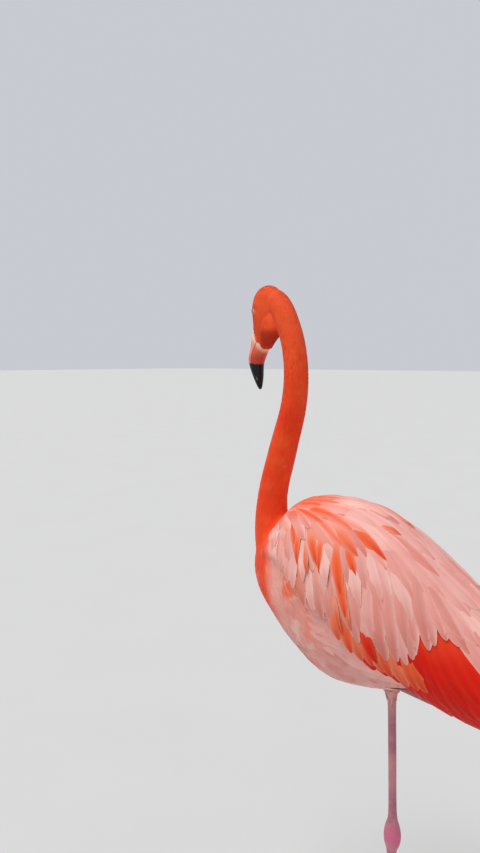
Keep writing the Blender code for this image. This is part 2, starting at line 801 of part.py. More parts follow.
def main():
    clear_scene()
    torso, *_, head = make_flesh()
    make_head_details(head)
    for side, name in ((1, "wing_left"), (-1, "wing_right")):
        make_wing(side, name)
    make_tail()
    make_thigh(THIGH_LEFT, "thigh_left")
    make_thigh(THIGH_RIGHT, "thigh_right")
    leg_piece(SHANK_LEFT, "shank_left")
    leg_piece(ANKLE, "ankle_left")
    leg_piece(TARSUS_LEFT, "tarsus_left")
    make_foot()
    leg_piece(ANKLE_RIGHT, "ankle_right")
    for rows, name in ((SHANK_RIGHT, "shank_right"), (TARSUS_RIGHT, "tarsus_right")):
        piece = leg_piece(rows, name)
        rooms = [leg_piece(fattened(ANKLE_RIGHT, 2 * GAP), "ankle_room")]
        rooms.append(leg_piece(fattened(THIGH_RIGHT, GAP), "thigh_room", 16))
        for room in rooms:
            combine(piece, [room], "DIFFERENCE")
        largest_only(piece)
    leg_piece(FOLDED_FOOT, "foot_right")


main()
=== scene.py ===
import math

import bmesh
import bpy
import numpy as np
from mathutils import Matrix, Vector
from mathutils.bvhtree import BVHTree


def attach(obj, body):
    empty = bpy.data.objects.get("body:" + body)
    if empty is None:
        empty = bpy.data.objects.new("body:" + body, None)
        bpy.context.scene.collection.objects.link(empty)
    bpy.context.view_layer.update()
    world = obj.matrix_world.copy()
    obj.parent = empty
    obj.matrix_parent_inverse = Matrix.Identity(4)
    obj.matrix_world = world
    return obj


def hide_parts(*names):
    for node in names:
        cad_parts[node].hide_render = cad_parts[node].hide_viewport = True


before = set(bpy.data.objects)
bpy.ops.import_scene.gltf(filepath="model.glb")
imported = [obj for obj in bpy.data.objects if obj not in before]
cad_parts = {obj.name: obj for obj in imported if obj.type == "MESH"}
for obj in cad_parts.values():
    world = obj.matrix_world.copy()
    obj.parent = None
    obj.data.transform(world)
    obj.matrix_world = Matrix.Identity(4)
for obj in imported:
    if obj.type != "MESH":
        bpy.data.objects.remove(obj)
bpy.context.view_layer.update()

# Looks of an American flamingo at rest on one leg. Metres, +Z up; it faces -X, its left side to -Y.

draw = np.random.default_rng(7)
SIDES = ((1, "left"), (-1, "right"))
UPWARD = np.array((0, 0, 1.0))
TINY = 1e-15

# Camera, from the photograph's view: place, turn to the left, tilt down, and focal length on 36 mm
CAMERA_PLACE = (0.4462, -0.8657, 1.01)
CAMERA_TURN = 40.0
CAMERA_TILT = 5.7
CAMERA_LENS = 28.02

# Body, as upright sections from the breast to the rump: x, top z, bottom z, half width
TORSO = np.array((
    (-0.2365, 0.690, 0.656, 0.009),
    (-0.2310, 0.711, 0.635, 0.023),
    (-0.2150, 0.734, 0.610, 0.038),
    (-0.190, 0.757, 0.585, 0.051),
    (-0.150, 0.779, 0.550, 0.064),
    (-0.090, 0.794, 0.515, 0.074),
    (-0.020, 0.789, 0.517, 0.078),
    (0.050, 0.754, 0.536, 0.076),
    (0.120, 0.701, 0.560, 0.066),
    (0.180, 0.651, 0.575, 0.048),
    (0.225, 0.618, 0.584, 0.028),
    (0.243, 0.606, 0.594, 0.010),
))
# Folded wing under its feathers: x, top z, bottom z, half width, reach round from the back, thickness
WING = np.array((
    (-0.198, 0.738, 0.600, 0.054, 60, 0.012),
    (-0.150, 0.782, 0.549, 0.073, 72, 0.022),
    (-0.090, 0.797, 0.517, 0.083, 84, 0.022),
    (-0.020, 0.792, 0.517, 0.087, 98, 0.022),
    (0.050, 0.758, 0.528, 0.086, 114, 0.022),
    (0.120, 0.707, 0.523, 0.078, 124, 0.022),
    (0.190, 0.653, 0.518, 0.063, 132, 0.018),
    (0.250, 0.606, 0.521, 0.045, 124, 0.012),
    (0.296, 0.574, 0.528, 0.030, 104, 0.007),
))
# How fast the wing's surface drops and narrows behind its last section
WING_DROOPS = 0.35
WING_NARROWS = 0.1
# Tail under its feathers: x, y, z, upright radius, sideways radius; and where its feathers begin
TAIL = np.array((
    (0.205, 0, 0.602, 0.011, 0.026),
    (0.245, 0, 0.586, 0.010, 0.020),
    (0.280, 0, 0.562, 0.0055, 0.017),
    (0.312, 0, 0.541, 0.0015, 0.012),
))
TAIL_ROOT = np.array((0.252, 0, 0.580))
# Neck, from inside the breast up and over to the skull: x, y, z, radius
NECK = np.array((
    (-0.125, 0.0, 0.650, 0.046),
    (-0.176, 0.0, 0.672, 0.042),
    (-0.205, 0.0, 0.714, 0.0325),
    (-0.210, 0.0, 0.781, 0.0250),
    (-0.189, 0.0, 0.865, 0.0228),
    (-0.169, 0.0, 0.935, 0.0208),
    (-0.164, 0.0, 0.985, 0.0198),
    (-0.171, 0.002, 1.033, 0.0196),
    (-0.187, 0.004, 1.0755, 0.0196),
    (-0.204, 0.007, 1.1000, 0.0196),
    (-0.221, 0.010, 1.1085, 0.0192),
    (-0.236, 0.012, 1.1060, 0.0180),
))
# Head frame: the point between the eyes, and its turn to the bird's right
EYE_MIDDLE = np.array((-0.245, 0.012, 1.091))
HEAD_TURN = math.radians(13)
AHEAD = np.array((-math.cos(HEAD_TURN), math.sin(HEAD_TURN), 0))
LEFT = np.array((-math.sin(HEAD_TURN), -math.cos(HEAD_TURN), 0))
DOWN = np.array((0, 0, -1.0))
# Eyes: radius, distance of the middle from the head's middle plane, and lean to the front in radians
EYE_RADIUS = 0.0052
EYE_OUT = 0.0118
EYE_LEAN = 0.16
# Skull, from the crown towards the bill: distance below the eyes, front, back, half width
SKULL = np.array((
    (-0.0394, -0.0178, -0.0240, 0.0028),
    (-0.0377, -0.0116, -0.0304, 0.0082),
    (-0.0333, -0.0030, -0.0374, 0.0138),
    (-0.0236, 0.0068, -0.0422, 0.0177),
    (-0.0104, 0.0127, -0.0436, 0.0184),
    (0.0020, 0.0150, -0.0422, 0.0186),
    (0.0140, 0.0155, -0.0395, 0.0172),
    (0.0260, 0.0158, -0.0365, 0.0152),
    (0.0360, 0.0165, -0.0325, 0.0140),
    (0.0430, 0.0152, -0.0290, 0.0136),
    (0.0500, 0.0112, -0.0230, 0.0133),
    (0.0560, 0.0060, -0.0180, 0.0110),
))
# Throat, from behind the cheeks down to the chin: distance below the eyes, front, back, half width
THROAT = np.array((
    (0.0020, -0.0120, -0.0425, 0.0110),
    (0.0140, -0.0060, -0.0480, 0.0150),
    (0.0240, -0.0020, -0.0510, 0.0154),
    (0.0330, -0.0005, -0.0495, 0.0150),
    (0.0400, -0.0005, -0.0440, 0.0146),
    (0.0470, -0.0030, -0.0345, 0.0140),
    (0.0540, -0.0070, -0.0255, 0.0128),
    (0.0600, -0.0110, -0.0205, 0.0100),
    (0.0630, -0.0135, -0.0180, 0.0060),
))
# Edge of the feathers on the face, from the eye to the chin: distance below the eyes, to the front
FACE_EDGE = np.array((
    (0.000, 0.0062),
    (0.010, 0.0068),
    (0.022, 0.0066),
    (0.036, 0.0058),
    (0.046, 0.0036),
    (0.053, -0.0020),
    (0.060, -0.0090),
    (0.067, -0.0170),
    (0.072, -0.0230),
))
# Bill: distance below the eyes, middle, half depth, half width
BILL = np.array((
    (0.0220, -0.0010, 0.0150, 0.0116),
    (0.0300, -0.0005, 0.0160, 0.0122),
    (0.0420, 0.0000, 0.0180, 0.0130),
    (0.0560, 0.0015, 0.0190, 0.0134),
    (0.0680, 0.0055, 0.0190, 0.0132),
    (0.0780, 0.0100, 0.0176, 0.0126),
    (0.0880, 0.0110, 0.0145, 0.0114),
    (0.0990, 0.0090, 0.0118, 0.0102),
    (0.1100, 0.0060, 0.0090, 0.0082),
    (0.1200, 0.0032, 0.0058, 0.0056),
    (0.1270, 0.0015, 0.0030, 0.0032),
    (0.1290, 0.0010, 0.0016, 0.0018),
    (0.1297, 0.0009, 0.0004, 0.0004),
))
# Line of the mouth, from the gape to the tip: distance below the eyes, towards the forehead
MOUTH = np.array((
    (0.020, -0.026),
    (0.042, -0.010),
    (0.056, -0.001),
    (0.068, 0.0065),
    (0.078, 0.0105),
    (0.088, 0.0100),
    (0.099, 0.0065),
    (0.110, 0.0025),
    (0.120, -0.0005),
    (0.140, -0.0060),
))

# Legs, from the body to the foot: x, y, z, fore-and-aft radius, sideways radius
LEG_LEFT = np.array((
    (0.0090, -0.002, 0.5500, 0.0200, 0.0180),
    (0.0115, 0.000, 0.5350, 0.0150, 0.0135),
    (0.0135, 0.000, 0.5220, 0.0092, 0.0086),
    (0.0142, 0.000, 0.5100, 0.0066, 0.0063),
    (0.0168, 0.000, 0.4300, 0.0062, 0.0057),
    (0.0195, 0.000, 0.3380, 0.0063, 0.0058),
    (0.0200, 0.000, 0.3220, 0.0078, 0.0069),
    (0.0200, 0.000, 0.3130, 0.0106, 0.0096),
    (0.0202, 0.000, 0.2990, 0.0132, 0.0114),
    (0.0200, 0.000, 0.2850, 0.0120, 0.0104),
    (0.0196, 0.000, 0.2740, 0.0083, 0.0075),
    (0.0194, 0.000, 0.2600, 0.0066, 0.0056),
    (0.0190, 0.000, 0.1400, 0.0062, 0.0052),
    (0.0190, 0.000, 0.0420, 0.0064, 0.0056),
    (0.0192, 0.000, 0.0224, 0.0078, 0.0072),
    (0.0195, 0.000, 0.0120, 0.0090, 0.0086),
    (0.0195, 0.000, 0.0040, 0.0096, 0.0092),
    (0.0195, 0.000, 0.0000, 0.0080, 0.0078),
))
SHANK_RIGHT = np.array((
    (-0.0300, 0.043, 0.5900, 0.0230, 0.0200),
    (0.0100, 0.041, 0.5690, 0.0220, 0.0190),
    (0.0420, 0.036, 0.5530, 0.0145, 0.0135),
    (0.0610, 0.033, 0.5425, 0.0080, 0.0076),
    (0.0800, 0.030, 0.5400, 0.0064, 0.0062),
    (0.1200, 0.026, 0.5345, 0.0061, 0.0058),
    (0.1950, 0.022, 0.5270, 0.0063, 0.0060),
    (0.2300, 0.021, 0.5200, 0.0082, 0.0076),
))
ANKLE_RIGHT = np.array((
    (0.2230, 0.021, 0.5325, 0.0030, 0.0030),
    (0.2270, 0.021, 0.5285, 0.0090, 0.0078),
    (0.2310, 0.021, 0.5185, 0.0124, 0.0104),
    (0.2320, 0.021, 0.5095, 0.0130, 0.0110),
    (0.2290, 0.021, 0.4995, 0.0112, 0.0096),
    (0.2240, 0.021, 0.4915, 0.0074, 0.0066),
    (0.2215, 0.021, 0.4890, 0.0026, 0.0024),
))
TARSUS_RIGHT = np.array((
    (0.2280, 0.021, 0.4990, 0.0084, 0.0076),
    (0.2000, 0.022, 0.5010, 0.0062, 0.0056),
    (0.1000, 0.027, 0.5085, 0.0058, 0.0050),
    (-0.0150, 0.037, 0.5150, 0.0060, 0.0054),
    (-0.0460, 0.040, 0.5170, 0.0074, 0.0070),
    (-0.0560, 0.041, 0.5180, 0.0076, 0.0098),
    (-0.0750, 0.042, 0.5215, 0.0062, 0.0110),
    (-0.1000, 0.042, 0.5290, 0.0050, 0.0100),
    (-0.1200, 0.040, 0.5390, 0.0036, 0.0072),
))
FOOT_RIGHT = TARSUS_RIGHT[4:]
# Bare lengths of the legs: rows, first and last place on them, spacing of rings, sides, angle of the
# broad plates, and how far from the first place the scales begin
LIMBS = (
    (LEG_LEFT, 1.2, len(LEG_LEFT) - 1, 0.00095, 34, math.pi, 0.045),
    (SHANK_RIGHT, 2.2, len(SHANK_RIGHT) - 1, 0.0010, 30, math.pi / 2, 0.03),
    (TARSUS_RIGHT, 0, 5.2, 0.0010, 30, -math.pi / 2, 0.0),
)
TOE_ROOT = np.array((0.019, 0.0, 0.0))
# Toes on the floor, the hind one last: degrees from straight ahead, length, radius at the root, how far
# behind the others' root it starts, rings, sides
TOES = (
    (0, 0.086, 0.0062, 0.0, 150, 40),
    (40, 0.074, 0.0056, 0.0, 150, 40),
    (-40, 0.076, 0.0056, 0.0, 150, 40),
    (168, 0.026, 0.0040, 0.002, 70, 30),
)
CLAW_SHARE = 0.16  # of a toe's length
# A folded claw: distance beyond the toe's end, drop, radius
FOLDED_CLAW = (
    (-0.003, 0, 0.0010),
    (-0.001, 0, 0.0024),
    (0.003, -0.0002, 0.0022),
    (0.007, -0.0012, 0.0014),
    (0.010, -0.0026, 0.0003),
)

# Depth of the coat over the skin
COAT_TORSO = 0.0055
COAT_NECK = 0.0016
COAT_HEAD = 0.0004

# Colours of the coat, as sRGB
VERMILION = (238, 72, 30)
SCARLET = (222, 40, 14)
FLAME = (252, 96, 50)
# painted shade: the dark red of the throat under the jaw
THROAT_SHADE_RED = (166, 20, 5)
ORANGE = (245, 100, 42)
SALMON = (240, 138, 112)
PINK = (240, 170, 155)
PALE = (247, 204, 192)
WHITE = (250, 226, 216)
ROSE = (214, 128, 120)
BELLY = (222, 162, 154)
BLACK = (14, 11, 13)
FOLD_PINK = (240, 178, 168)
UNDERWING = (224, 74, 48)
# painted shade: the deeper pink of the wing's lower, shaded part
WING_PINK = (230, 163, 153)
WING_LOW_SHADE = (218, 134, 121)
WING_PALE = (246, 200, 190)
WING_DEEP = (208, 110, 94)
SHOULDER_ORANGE = (238, 112, 76)
SHOULDER_PALE = (242, 186, 174)
VANE_TIP = (212, 112, 96)
# pale rim of the vanes, also used as a painted highlight on their upper edges
VANE_RIM_AND_HIGHLIGHT = (250, 210, 200)
STREAK = (240, 92, 44)
STREAK_EDGE = (236, 112, 66)
TAIL_RED = (226, 96, 78)
TAIL_EDGE = (240, 150, 130)
# Colours of the legs and face
LEG_PINK = (206, 136, 138)
LEG_SHADE = (176, 108, 122)
LEG_LIGHT = (214, 150, 150)
ANKLE_PINK = (220, 92, 140)
FOOT_SHADE = (150, 96, 108)
LORE = (244, 222, 200)
LORE_FOLD = (238, 186, 168)
EYE_RING = (208, 88, 60)
# Colours of the eyes, bill and claws
PUPIL = (8, 7, 8)
IRIS_PALE = (236, 206, 96)
IRIS_GOLD = (214, 168, 60)
IRIS_RIM = (46, 22, 14)
EYE_CORNER = (126, 62, 50)
BILL_ROOT = (244, 212, 186)
BILL_CREAM = (242, 206, 176)
BILL_PINK = (246, 142, 120)
BILL_CORAL = (240, 108, 82)
# painted shade: the lower bill's darker orange and red
BILL_SHADED_ORANGE = (230, 104, 76)
BILL_SHADED_RED = (196, 62, 40)
BILL_BLACK = (9, 6, 8)
MOUTH_LINE = (70, 40, 36)
COMB_HORN = (226, 190, 160)
CLAW_DARK = (60, 40, 40)
CLAW_LIGHT = (110, 80, 74)


def linear(colour):
    """An sRGB colour, 0 to 255, as linear red, green and blue."""
    part = np.asarray(colour, float) / 255
    return np.where(part <= 0.04045, part / 12.92, ((part + 0.055) / 1.055) ** 2.4)


def mix(first, second, share):
    """The first colour or direction turned into the second by each point's share."""
    return between(first, second, np.asarray(share, float)[..., None])


def between(first, second, share):
    """The number at a share of the way from first to second."""
    return first * (1 - share) + second * share


def tinted(base, colour, share):
    """Linear colours turned into an sRGB one by each point's share."""
    return mix(base, linear(colour), share)


def ramp(value, low, high):
    """0 below low, 1 above high, and smooth between them."""
    t = np.clip((np.asarray(value, float) - low) / (high - low), 0, 1)
    return t * t * (3 - 2 * t)


def bell(value, middle, width):
    """1 at the middle, falling off smoothly over about the width to both sides."""
    return np.exp(-((value - middle) / width) ** 2)


def noise(points, size, seed=0):
    """Smooth random values from -1 to 1 over space, which change over about `size`."""
    primes, stir, low_bits, levels = (73856093, 19349663, 83492791), 1274126177, 0x7FFFFFFF, 10007
    place = np.asarray(points) / size + 31.7 * seed
    cell = np.floor(place).astype(np.int64)
    part = place - cell
    part = part * part * (3 - 2 * part)
    total = np.zeros(part.shape[:-1])
    for corner in range(8):
        step = np.array([(corner >> k) & 1 for k in range(3)])
        mixed = ((cell + step) * primes).sum(-1) & low_bits
        mixed = (mixed ^ (mixed >> 13)) * stir & low_bits
        share = np.where(step, part, 1 - part).prod(-1)
        total += share * (mixed % levels) / levels
    return 2 * total - 1


def unit(vectors):
    """Vectors made one long."""
    return vectors / np.maximum(np.linalg.norm(vectors, axis=-1, keepdims=True), 1e-12)


def curve(rows, t, key=1):
    """The rows at each t of a smooth curve through all rows, where row k is at t = k.

    The first `key` numbers of the rows give the distance between them.
    """
    last = len(rows) - 1
    t = np.clip(np.asarray(t, float), 0, last)
    k = np.minimum(t.astype(int), last - 1)
    f = (t - k)[..., None]
    gaps = np.linalg.norm(np.diff(rows[:, :key], axis=0), axis=1)
    before, start = rows[np.maximum(k - 1, 0)], rows[k]
    end, after = rows[k + 1], rows[np.minimum(k + 2, last)]
    span = gaps[k][..., None]
    lead = np.where(k > 0, gaps[np.maximum(k - 1, 0)], 0.0)[..., None]
    tail = np.where(k + 2 <= last, gaps[np.minimum(k + 1, last - 1)], 0.0)[..., None]
    leave = (end - before) * span / (lead + span)
    reach = (after - start) * span / (span + tail)
    hold, run = (1 + 2 * f) * (1 - f) ** 2, f * f * (3 - 2 * f)
    return hold * start + f * (1 - f) ** 2 * leave + run * end + f * f * (f - 1) * reach


def row_at(rows, x):
    """The rows of a smooth curve where their first number is x."""
    return curve(rows, np.interp(x, rows[:, 0], np.arange(len(rows))))


def section(row):
    """The middle and half of the span between the second and third number of rows."""
    return (row[..., 1] + row[..., 2]) / 2, (row[..., 1] - row[..., 2]) / 2


def turns(sides):
    """Even angles round a full turn."""
    return 2 * math.pi * np.arange(sides) / sides


def middle_line(rows, first, last, count):
    """Places on the smooth middle line through rows of x, y and z."""
    return curve(rows, np.linspace(first, last, count), 3)[:, :3]


def line_heading(rows, t):
    """Directions of the smooth line through rows at each t."""
    ahead, behind = (curve(rows, t + step, 3)[:, :3] for step in (0.04, -0.04))
    return unit(ahead - behind)


def line_frame(along):
    """The directions across lines, near +Y, and those at right angles to both."""
    across = unit(np.array((0.0, 1.0, 0.0)) - along[:, 1:2] * along)
    return across, np.cross(along, across)


def squared_gaps(points, line):
    """Squared distance from each point to each place of a line."""
    return ((points[:, None] - line[None]) ** 2).sum(-1)


# Surfaces

def line_rings(rows, t, grow, sides, relief=0.0):
    """Rings round the smooth line through rows of x, y, z, radius and, if given, a second radius."""
    here = curve(rows, t, 3)
    across, up = line_frame(line_heading(rows, t))
    fore, side = ((radius + grow + relief) * np.ones((1, sides)) for radius in (here[:, 3:4], here[:, -1:]))
    angles = turns(sides)[None, :, None]
    turned = fore[:, :, None] * np.cos(angles) * up[:, None]
    turned = turned + side[:, :, None] * np.sin(angles) * across[:, None]
    return here[:, None, :3] + turned


def torso_point(x, angle, lift):
    """Round the body: angle 0 is the back's middle line, and a positive one is to its left."""
    row = row_at(TORSO, x)
    middle, high = section(row)
    half = row[..., 3] + lift
    return np.stack((x + 0 * angle, -half * np.sin(angle), middle + (high + lift) * np.cos(angle)), -1)


def torso_share(points):
    """How far out of the torso's sections points are: 1 on their outline, and less inside."""
    row = row_at(TORSO, points[..., 0])
    middle, high = section(row)
    return ((points[..., 2] - middle) / high) ** 2 + (points[..., 1] / row[..., 3]) ** 2


def head_point(down, front, side):
    """A point of the head frame: below the eyes, towards the forehead, and to the bird's left."""
    down, front, side = (np.asarray(v, float)[..., None] for v in (down, front, side))
    return EYE_MIDDLE + down * DOWN + front * AHEAD + side * LEFT


def head_place(points):
    """How far points are below the eyes, towards the forehead, and to the bird's left."""
    from_middle = points - EYE_MIDDLE
    return from_middle @ DOWN, from_middle @ AHEAD, from_middle @ LEFT


def head_rings(rows, t, sides, grow=0.0, shape=None):
    """Rings round the head's line through rows of distance below the eyes, front, back and half width."""
    row = curve(rows, t)
    angles = turns(sides)
    middle, reach = (part[:, None] for part in section(row))
    more = 0.0 if shape is None else shape(row[:, 0:1], angles[None])
    front = middle + (reach + grow + more) * np.cos(angles)
    side = (row[:, 3:4] + grow + more) * np.sin(angles)
    return head_point(row[:, 0:1] * np.ones((1, sides)), front, side)


def wing_point(x, degrees, lift, side):
    """A point above the folded wing's surface, `degrees` round from the back's middle line."""
    row = row_at(WING, x)
    beyond = np.maximum(0.0, x - WING[-1, 0])
    middle, high = section(row)
    half = row[..., 3] + lift - WING_NARROWS * beyond
    a = np.radians(degrees)
    upward = middle - WING_DROOPS * beyond + (high + lift) * np.cos(a)
    return np.stack((x, -side * half * np.sin(a), upward), -1)


def wing_radius(x):
    """The folded wing's mean radius round the body."""
    row = row_at(WING, x)
    return 0.5 * (row[..., 3] + section(row)[1])


# Meshes

def read_all(items, field, width, kind):
    """A field of all a mesh's items, a row each."""
    values = np.empty(len(items) * width, kind)
    items.foreach_get(field, values)
    return values.reshape(-1, width)


def mesh_object(name, points, faces):
    """A mesh object from points and a list of arrays of faces, each with as many corners a face."""
    corners = np.concatenate([part.ravel() for part in faces])
    sizes = np.concatenate([np.full(len(part), part.shape[1]) for part in faces])
    mesh = bpy.data.meshes.new(name)
    mesh.vertices.add(len(points))
    mesh.vertices.foreach_set("co", np.ascontiguousarray(points, np.float32).ravel())
    mesh.loops.add(len(corners))
    mesh.loops.foreach_set("vertex_index", corners.astype(np.int32))
    mesh.polygons.add(len(sizes))
    starts = np.concatenate(([0], np.cumsum(sizes)[:-1]))
    mesh.polygons.foreach_set("loop_start", starts.astype(np.int32))
    mesh.update(calc_edges=True)
    mesh.polygons.foreach_set("use_smooth", np.ones(len(sizes), bool))
    return linked(name, mesh)


def linked(name, data):
    """A new object of the scene."""
    obj = bpy.data.objects.new(name, data)
    bpy.context.scene.collection.objects.link(obj)
    return obj


def apply_modifiers(obj):
    """Gives an object the mesh that its modifiers make of it."""
    bpy.context.view_layer.update()
    graph = bpy.context.evaluated_depsgraph_get()
    mesh = bpy.data.meshes.new_from_object(obj.evaluated_get(graph))
    obj.modifiers.clear()
    obj.data = mesh


def tube(rings, name):
    """A closed mesh object through rings of as many points each."""
    count, sides = rings.shape[:2]
    index = np.arange(count * sides).reshape(count, sides)
    after = np.roll(index, -1, axis=1)
    quads = np.stack((index[:-1], after[:-1], after[1:], index[1:]), -1).reshape(-1, 4)
    obj = mesh_object(name, rings.reshape(-1, 3), [quads, index[:1, ::-1], index[-1:]])
    return faced_out(obj)


def faced_out(obj):
    """Turns a closed mesh's faces outwards."""
    bm = bmesh.new()
    bm.from_mesh(obj.data)
    bmesh.ops.recalc_face_normals(bm, faces=bm.faces)
    if bm.calc_volume(signed=True) < 0:
        bmesh.ops.reverse_faces(bm, faces=bm.faces)
    bm.to_mesh(obj.data)
    bm.free()
    return obj


def combine(base, others, operation):
    """One Boolean of base with all the others, applied; the others are used up."""
    group = bpy.data.collections.new("operands")
    for other in others:
        group.objects.link(other)
    step = base.modifiers.new("combine", "BOOLEAN")
    step.operation = operation
    step.solver = "MANIFOLD"
    step.operand_type = "COLLECTION"
    step.collection = group
    apply_modifiers(base)
    for other in others:
        bpy.data.objects.remove(other)
    bpy.data.collections.remove(group)
    base.data.polygons.foreach_set("use_smooth", np.ones(len(base.data.polygons), bool))


def points_of(obj):
    """The points of an object's mesh."""
    return read_all(obj.data.vertices, "co", 3, np.float32).astype(float)


def paint(obj, tint):
    """Stores a linear colour for each point, which the materials read."""
    layer = obj.data.color_attributes.new("Tint", "FLOAT_COLOR", "POINT")
    colours = np.ones((len(tint), 4), np.float32)
    colours[:, :3] = np.clip(tint, 0, 1)
    layer.data.foreach_set("color", colours.ravel())


def add_map(obj, name, places):
    """A UV map from a place for each point."""
    layer = obj.data.uv_layers.new(name=name)
    corners = read_all(obj.data.loops, "vertex_index", 1, np.int32).ravel()
    layer.data.foreach_set("uv", np.ascontiguousarray(places[corners], np.float32).ravel())


def finish_piece(obj, material, nodes=()):
    """Gives a piece its material and body, and hides the CAD nodes that it stands for."""
    obj.data.materials.clear()
    obj.data.materials.append(material)
    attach(obj, "root")
    if nodes:
        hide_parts(*nodes)


# Materials

# Barbs: slant along the vane for each step across it, and how much finer they are along than across
BARB_SLANT = 1.3
BARB_STRETCH = 14.0


def new_material(name):
    """A material with its node tree and shader."""
    material = bpy.data.materials.new(name)
    material.use_nodes = True
    return material, material.node_tree, material.node_tree.nodes["Principled BSDF"]


def add_node(tree, kind, sockets, **settings):
    """A new node with its own settings; each socket named gets a link or a value."""
    made = tree.nodes.new("ShaderNode" + kind)
    for setting, value in settings.items():
        setattr(made, setting, value)
    for socket, value in sockets.items():
        if isinstance(value, bpy.types.NodeSocket):
            tree.links.new(value, made.inputs[socket])
        else:
            made.inputs[socket].default_value = value
    return made.outputs


class Surface:
    """A material in the making, whose colour starts as the stored tint."""

    def __init__(self, name, **shader_values):
        self.material, self.tree, self.shader = new_material(name)
        values = {"Sheen Roughness": 0.4, "Coat Roughness": 0.08}
        values.update((key.replace("_", " ").title().replace("Ior", "IOR"), value)
                      for key, value in shader_values.items())
        for socket, value in values.items():
            self.shader.inputs[socket].default_value = value
        self.colour = self.add("Attribute", {}, attribute_name="Tint")["Color"]

    def add(self, kind, sockets, **settings):
        return add_node(self.tree, kind, sockets, **settings)

    def place(self):
        return self.add("TexCoord", {})["Object"]

    def noise(self, vector, scale, detail=2.0):
        return self.add("TexNoise", {"Vector": vector, "Scale": scale, "Detail": detail})["Fac"]

    def shade(self, factor, low, high):
        """Makes the colour darker or lighter as factor goes from 0 to 1."""
        scale = self.add("MapRange", {"Value": factor, "To Min": low, "To Max": high})["Result"]
        self.colour = self.add("VectorMath", {0: self.colour, "Scale": scale}, operation="SCALE")["Vector"]

    def bump(self, height, distance, strength):
        normal = self.add("Bump", {"Height": height, "Distance": distance, "Strength": strength})["Normal"]
        self.tree.links.new(normal, self.shader.inputs["Normal"])

    def finished(self):
        self.tree.links.new(self.colour, self.shader.inputs["Base Color"])
        return self.material


def barb_vector(surface):
    """Coordinates along and across a vane's barbs, which slant from its shaft to its edge."""
    place = surface.add("UVMap", {}, uv_map="Vane")["UV"]
    parts = surface.add("SeparateXYZ", {"Vector": place})
    aside = surface.add("Math", {0: parts["X"]}, operation="ABSOLUTE")[0]
    slant = surface.add("Math", {0: aside, 1: -BARB_SLANT, 2: parts["Y"]}, operation="MULTIPLY_ADD")[0]
    along = surface.add("Math", {0: slant, 1: BARB_STRETCH}, operation="MULTIPLY")[0]
    return surface.add("CombineXYZ", {"X": along, "Y": parts["X"]})["Vector"]


def feather_material(name, roughness, sheen, specular, relief, contrast):
    """Vanes with fine barbs, a little uneven in colour."""
    surface = Surface(name, roughness=roughness, specular_ior_level=specular, sheen_weight=sheen,
                      sheen_tint=(1.0, 0.80, 0.72, 1.0))
    barbs = surface.noise(barb_vector(surface), 95.0, 3.0)
    surface.shade(barbs, 1 - contrast, 1 + contrast)
    surface.shade(surface.noise(surface.place(), 60.0), 0.94, 1.06)
    surface.bump(barbs, relief, 0.6)
    return surface.finished()


def skin_material():
    """Bare skin: leg scales, and fine wrinkles on the face."""
    surface = Surface("skin_bare", roughness=0.46, specular_ior_level=0.45)
    place = surface.place()
    gap = surface.add("TexVoronoi", {"Vector": place, "Scale": 430.0}, feature="DISTANCE_TO_EDGE")["Distance"]
    scale = surface.add("MapRange", {"Value": gap, "From Max": 0.12})["Result"]
    surface.shade(surface.noise(place, 90.0, 3.0), 0.82, 1.14)
    surface.shade(scale, 0.80, 1.03)
    surface.bump(scale, 0.00018, 0.8)
    return surface.finished()


def horn_material():
    """Bill and claws: fine lines along the horn under a thin polish."""
    surface = Surface("horn", roughness=0.36, specular_ior_level=0.24, coat_weight=0.12)
    squeezed = surface.add("Mapping", {"Vector": surface.place(), "Scale": (1.0, 1.0, 0.16)})["Vector"]
    lines = surface.noise(squeezed, 620.0, 3.0)
    surface.shade(lines, 0.90, 1.10)
    surface.bump(lines, 0.00012, 0.5)
    return surface.finished()


def eye_material():
    """The wet eye."""
    surface = Surface("eye_wet", roughness=0.12, specular_ior_level=0.6, coat_weight=1.0, coat_roughness=0.02)
    surface.shade(surface.noise(surface.place(), 1500.0), 0.9, 1.1)
    return surface.finished()


soft = feather_material("feathers_soft", 0.64, 0.12, 0.12, 0.00005, 0.06)
satin = feather_material("feathers_satin", 0.54, 0.06, 0.13, 0.00012, 0.09)
bare = skin_material()
horn = horn_material()
wet = eye_material()


# Markings, shared by skin and coat

def orange_share(points):
    """How much of the breast is orange-red rather than pink: the neck's colour runs down its front."""
    x, y, z = np.moveaxis(points, -1, 0)
    half_width = 0.016 + 0.9 * np.maximum(0.0, x + 0.24) + 0.55 * ramp(z, 0.66, 0.78)
    front = 1 - ramp(x, -0.195, -0.15)
    return (1 - ramp(np.abs(y) / half_width, 0.75, 1.35)) * front * ramp(z, 0.545, 0.60)


def body_pink(points, wide, fine):
    """The pink of the body: paler on the breast and patchy, with a few orange spots."""
    x, z = points[..., 0], points[..., 2]
    pink = tinted(linear(BELLY), SALMON, ramp(z + 0.02 * wide, 0.54, 0.66) * 0.55)
    pink = tinted(pink, ROSE, ramp(fine + wide, 0.1, 1.0) * 0.5)
    pink = tinted(pink, PALE, ramp(-fine - 0.6 * wide, 0.1, 1.0) * 0.55)
    breast = ramp(-x, 0.13, 0.19) * ramp(z, 0.60, 0.66)
    pink = tinted(pink, WHITE, 0.55 * breast)
    spots = ramp(noise(points, 0.022, 3), 0.42, 0.62) * ramp(-x, 0.05, 0.14)
    return tinted(pink, ORANGE, 0.7 * spots)


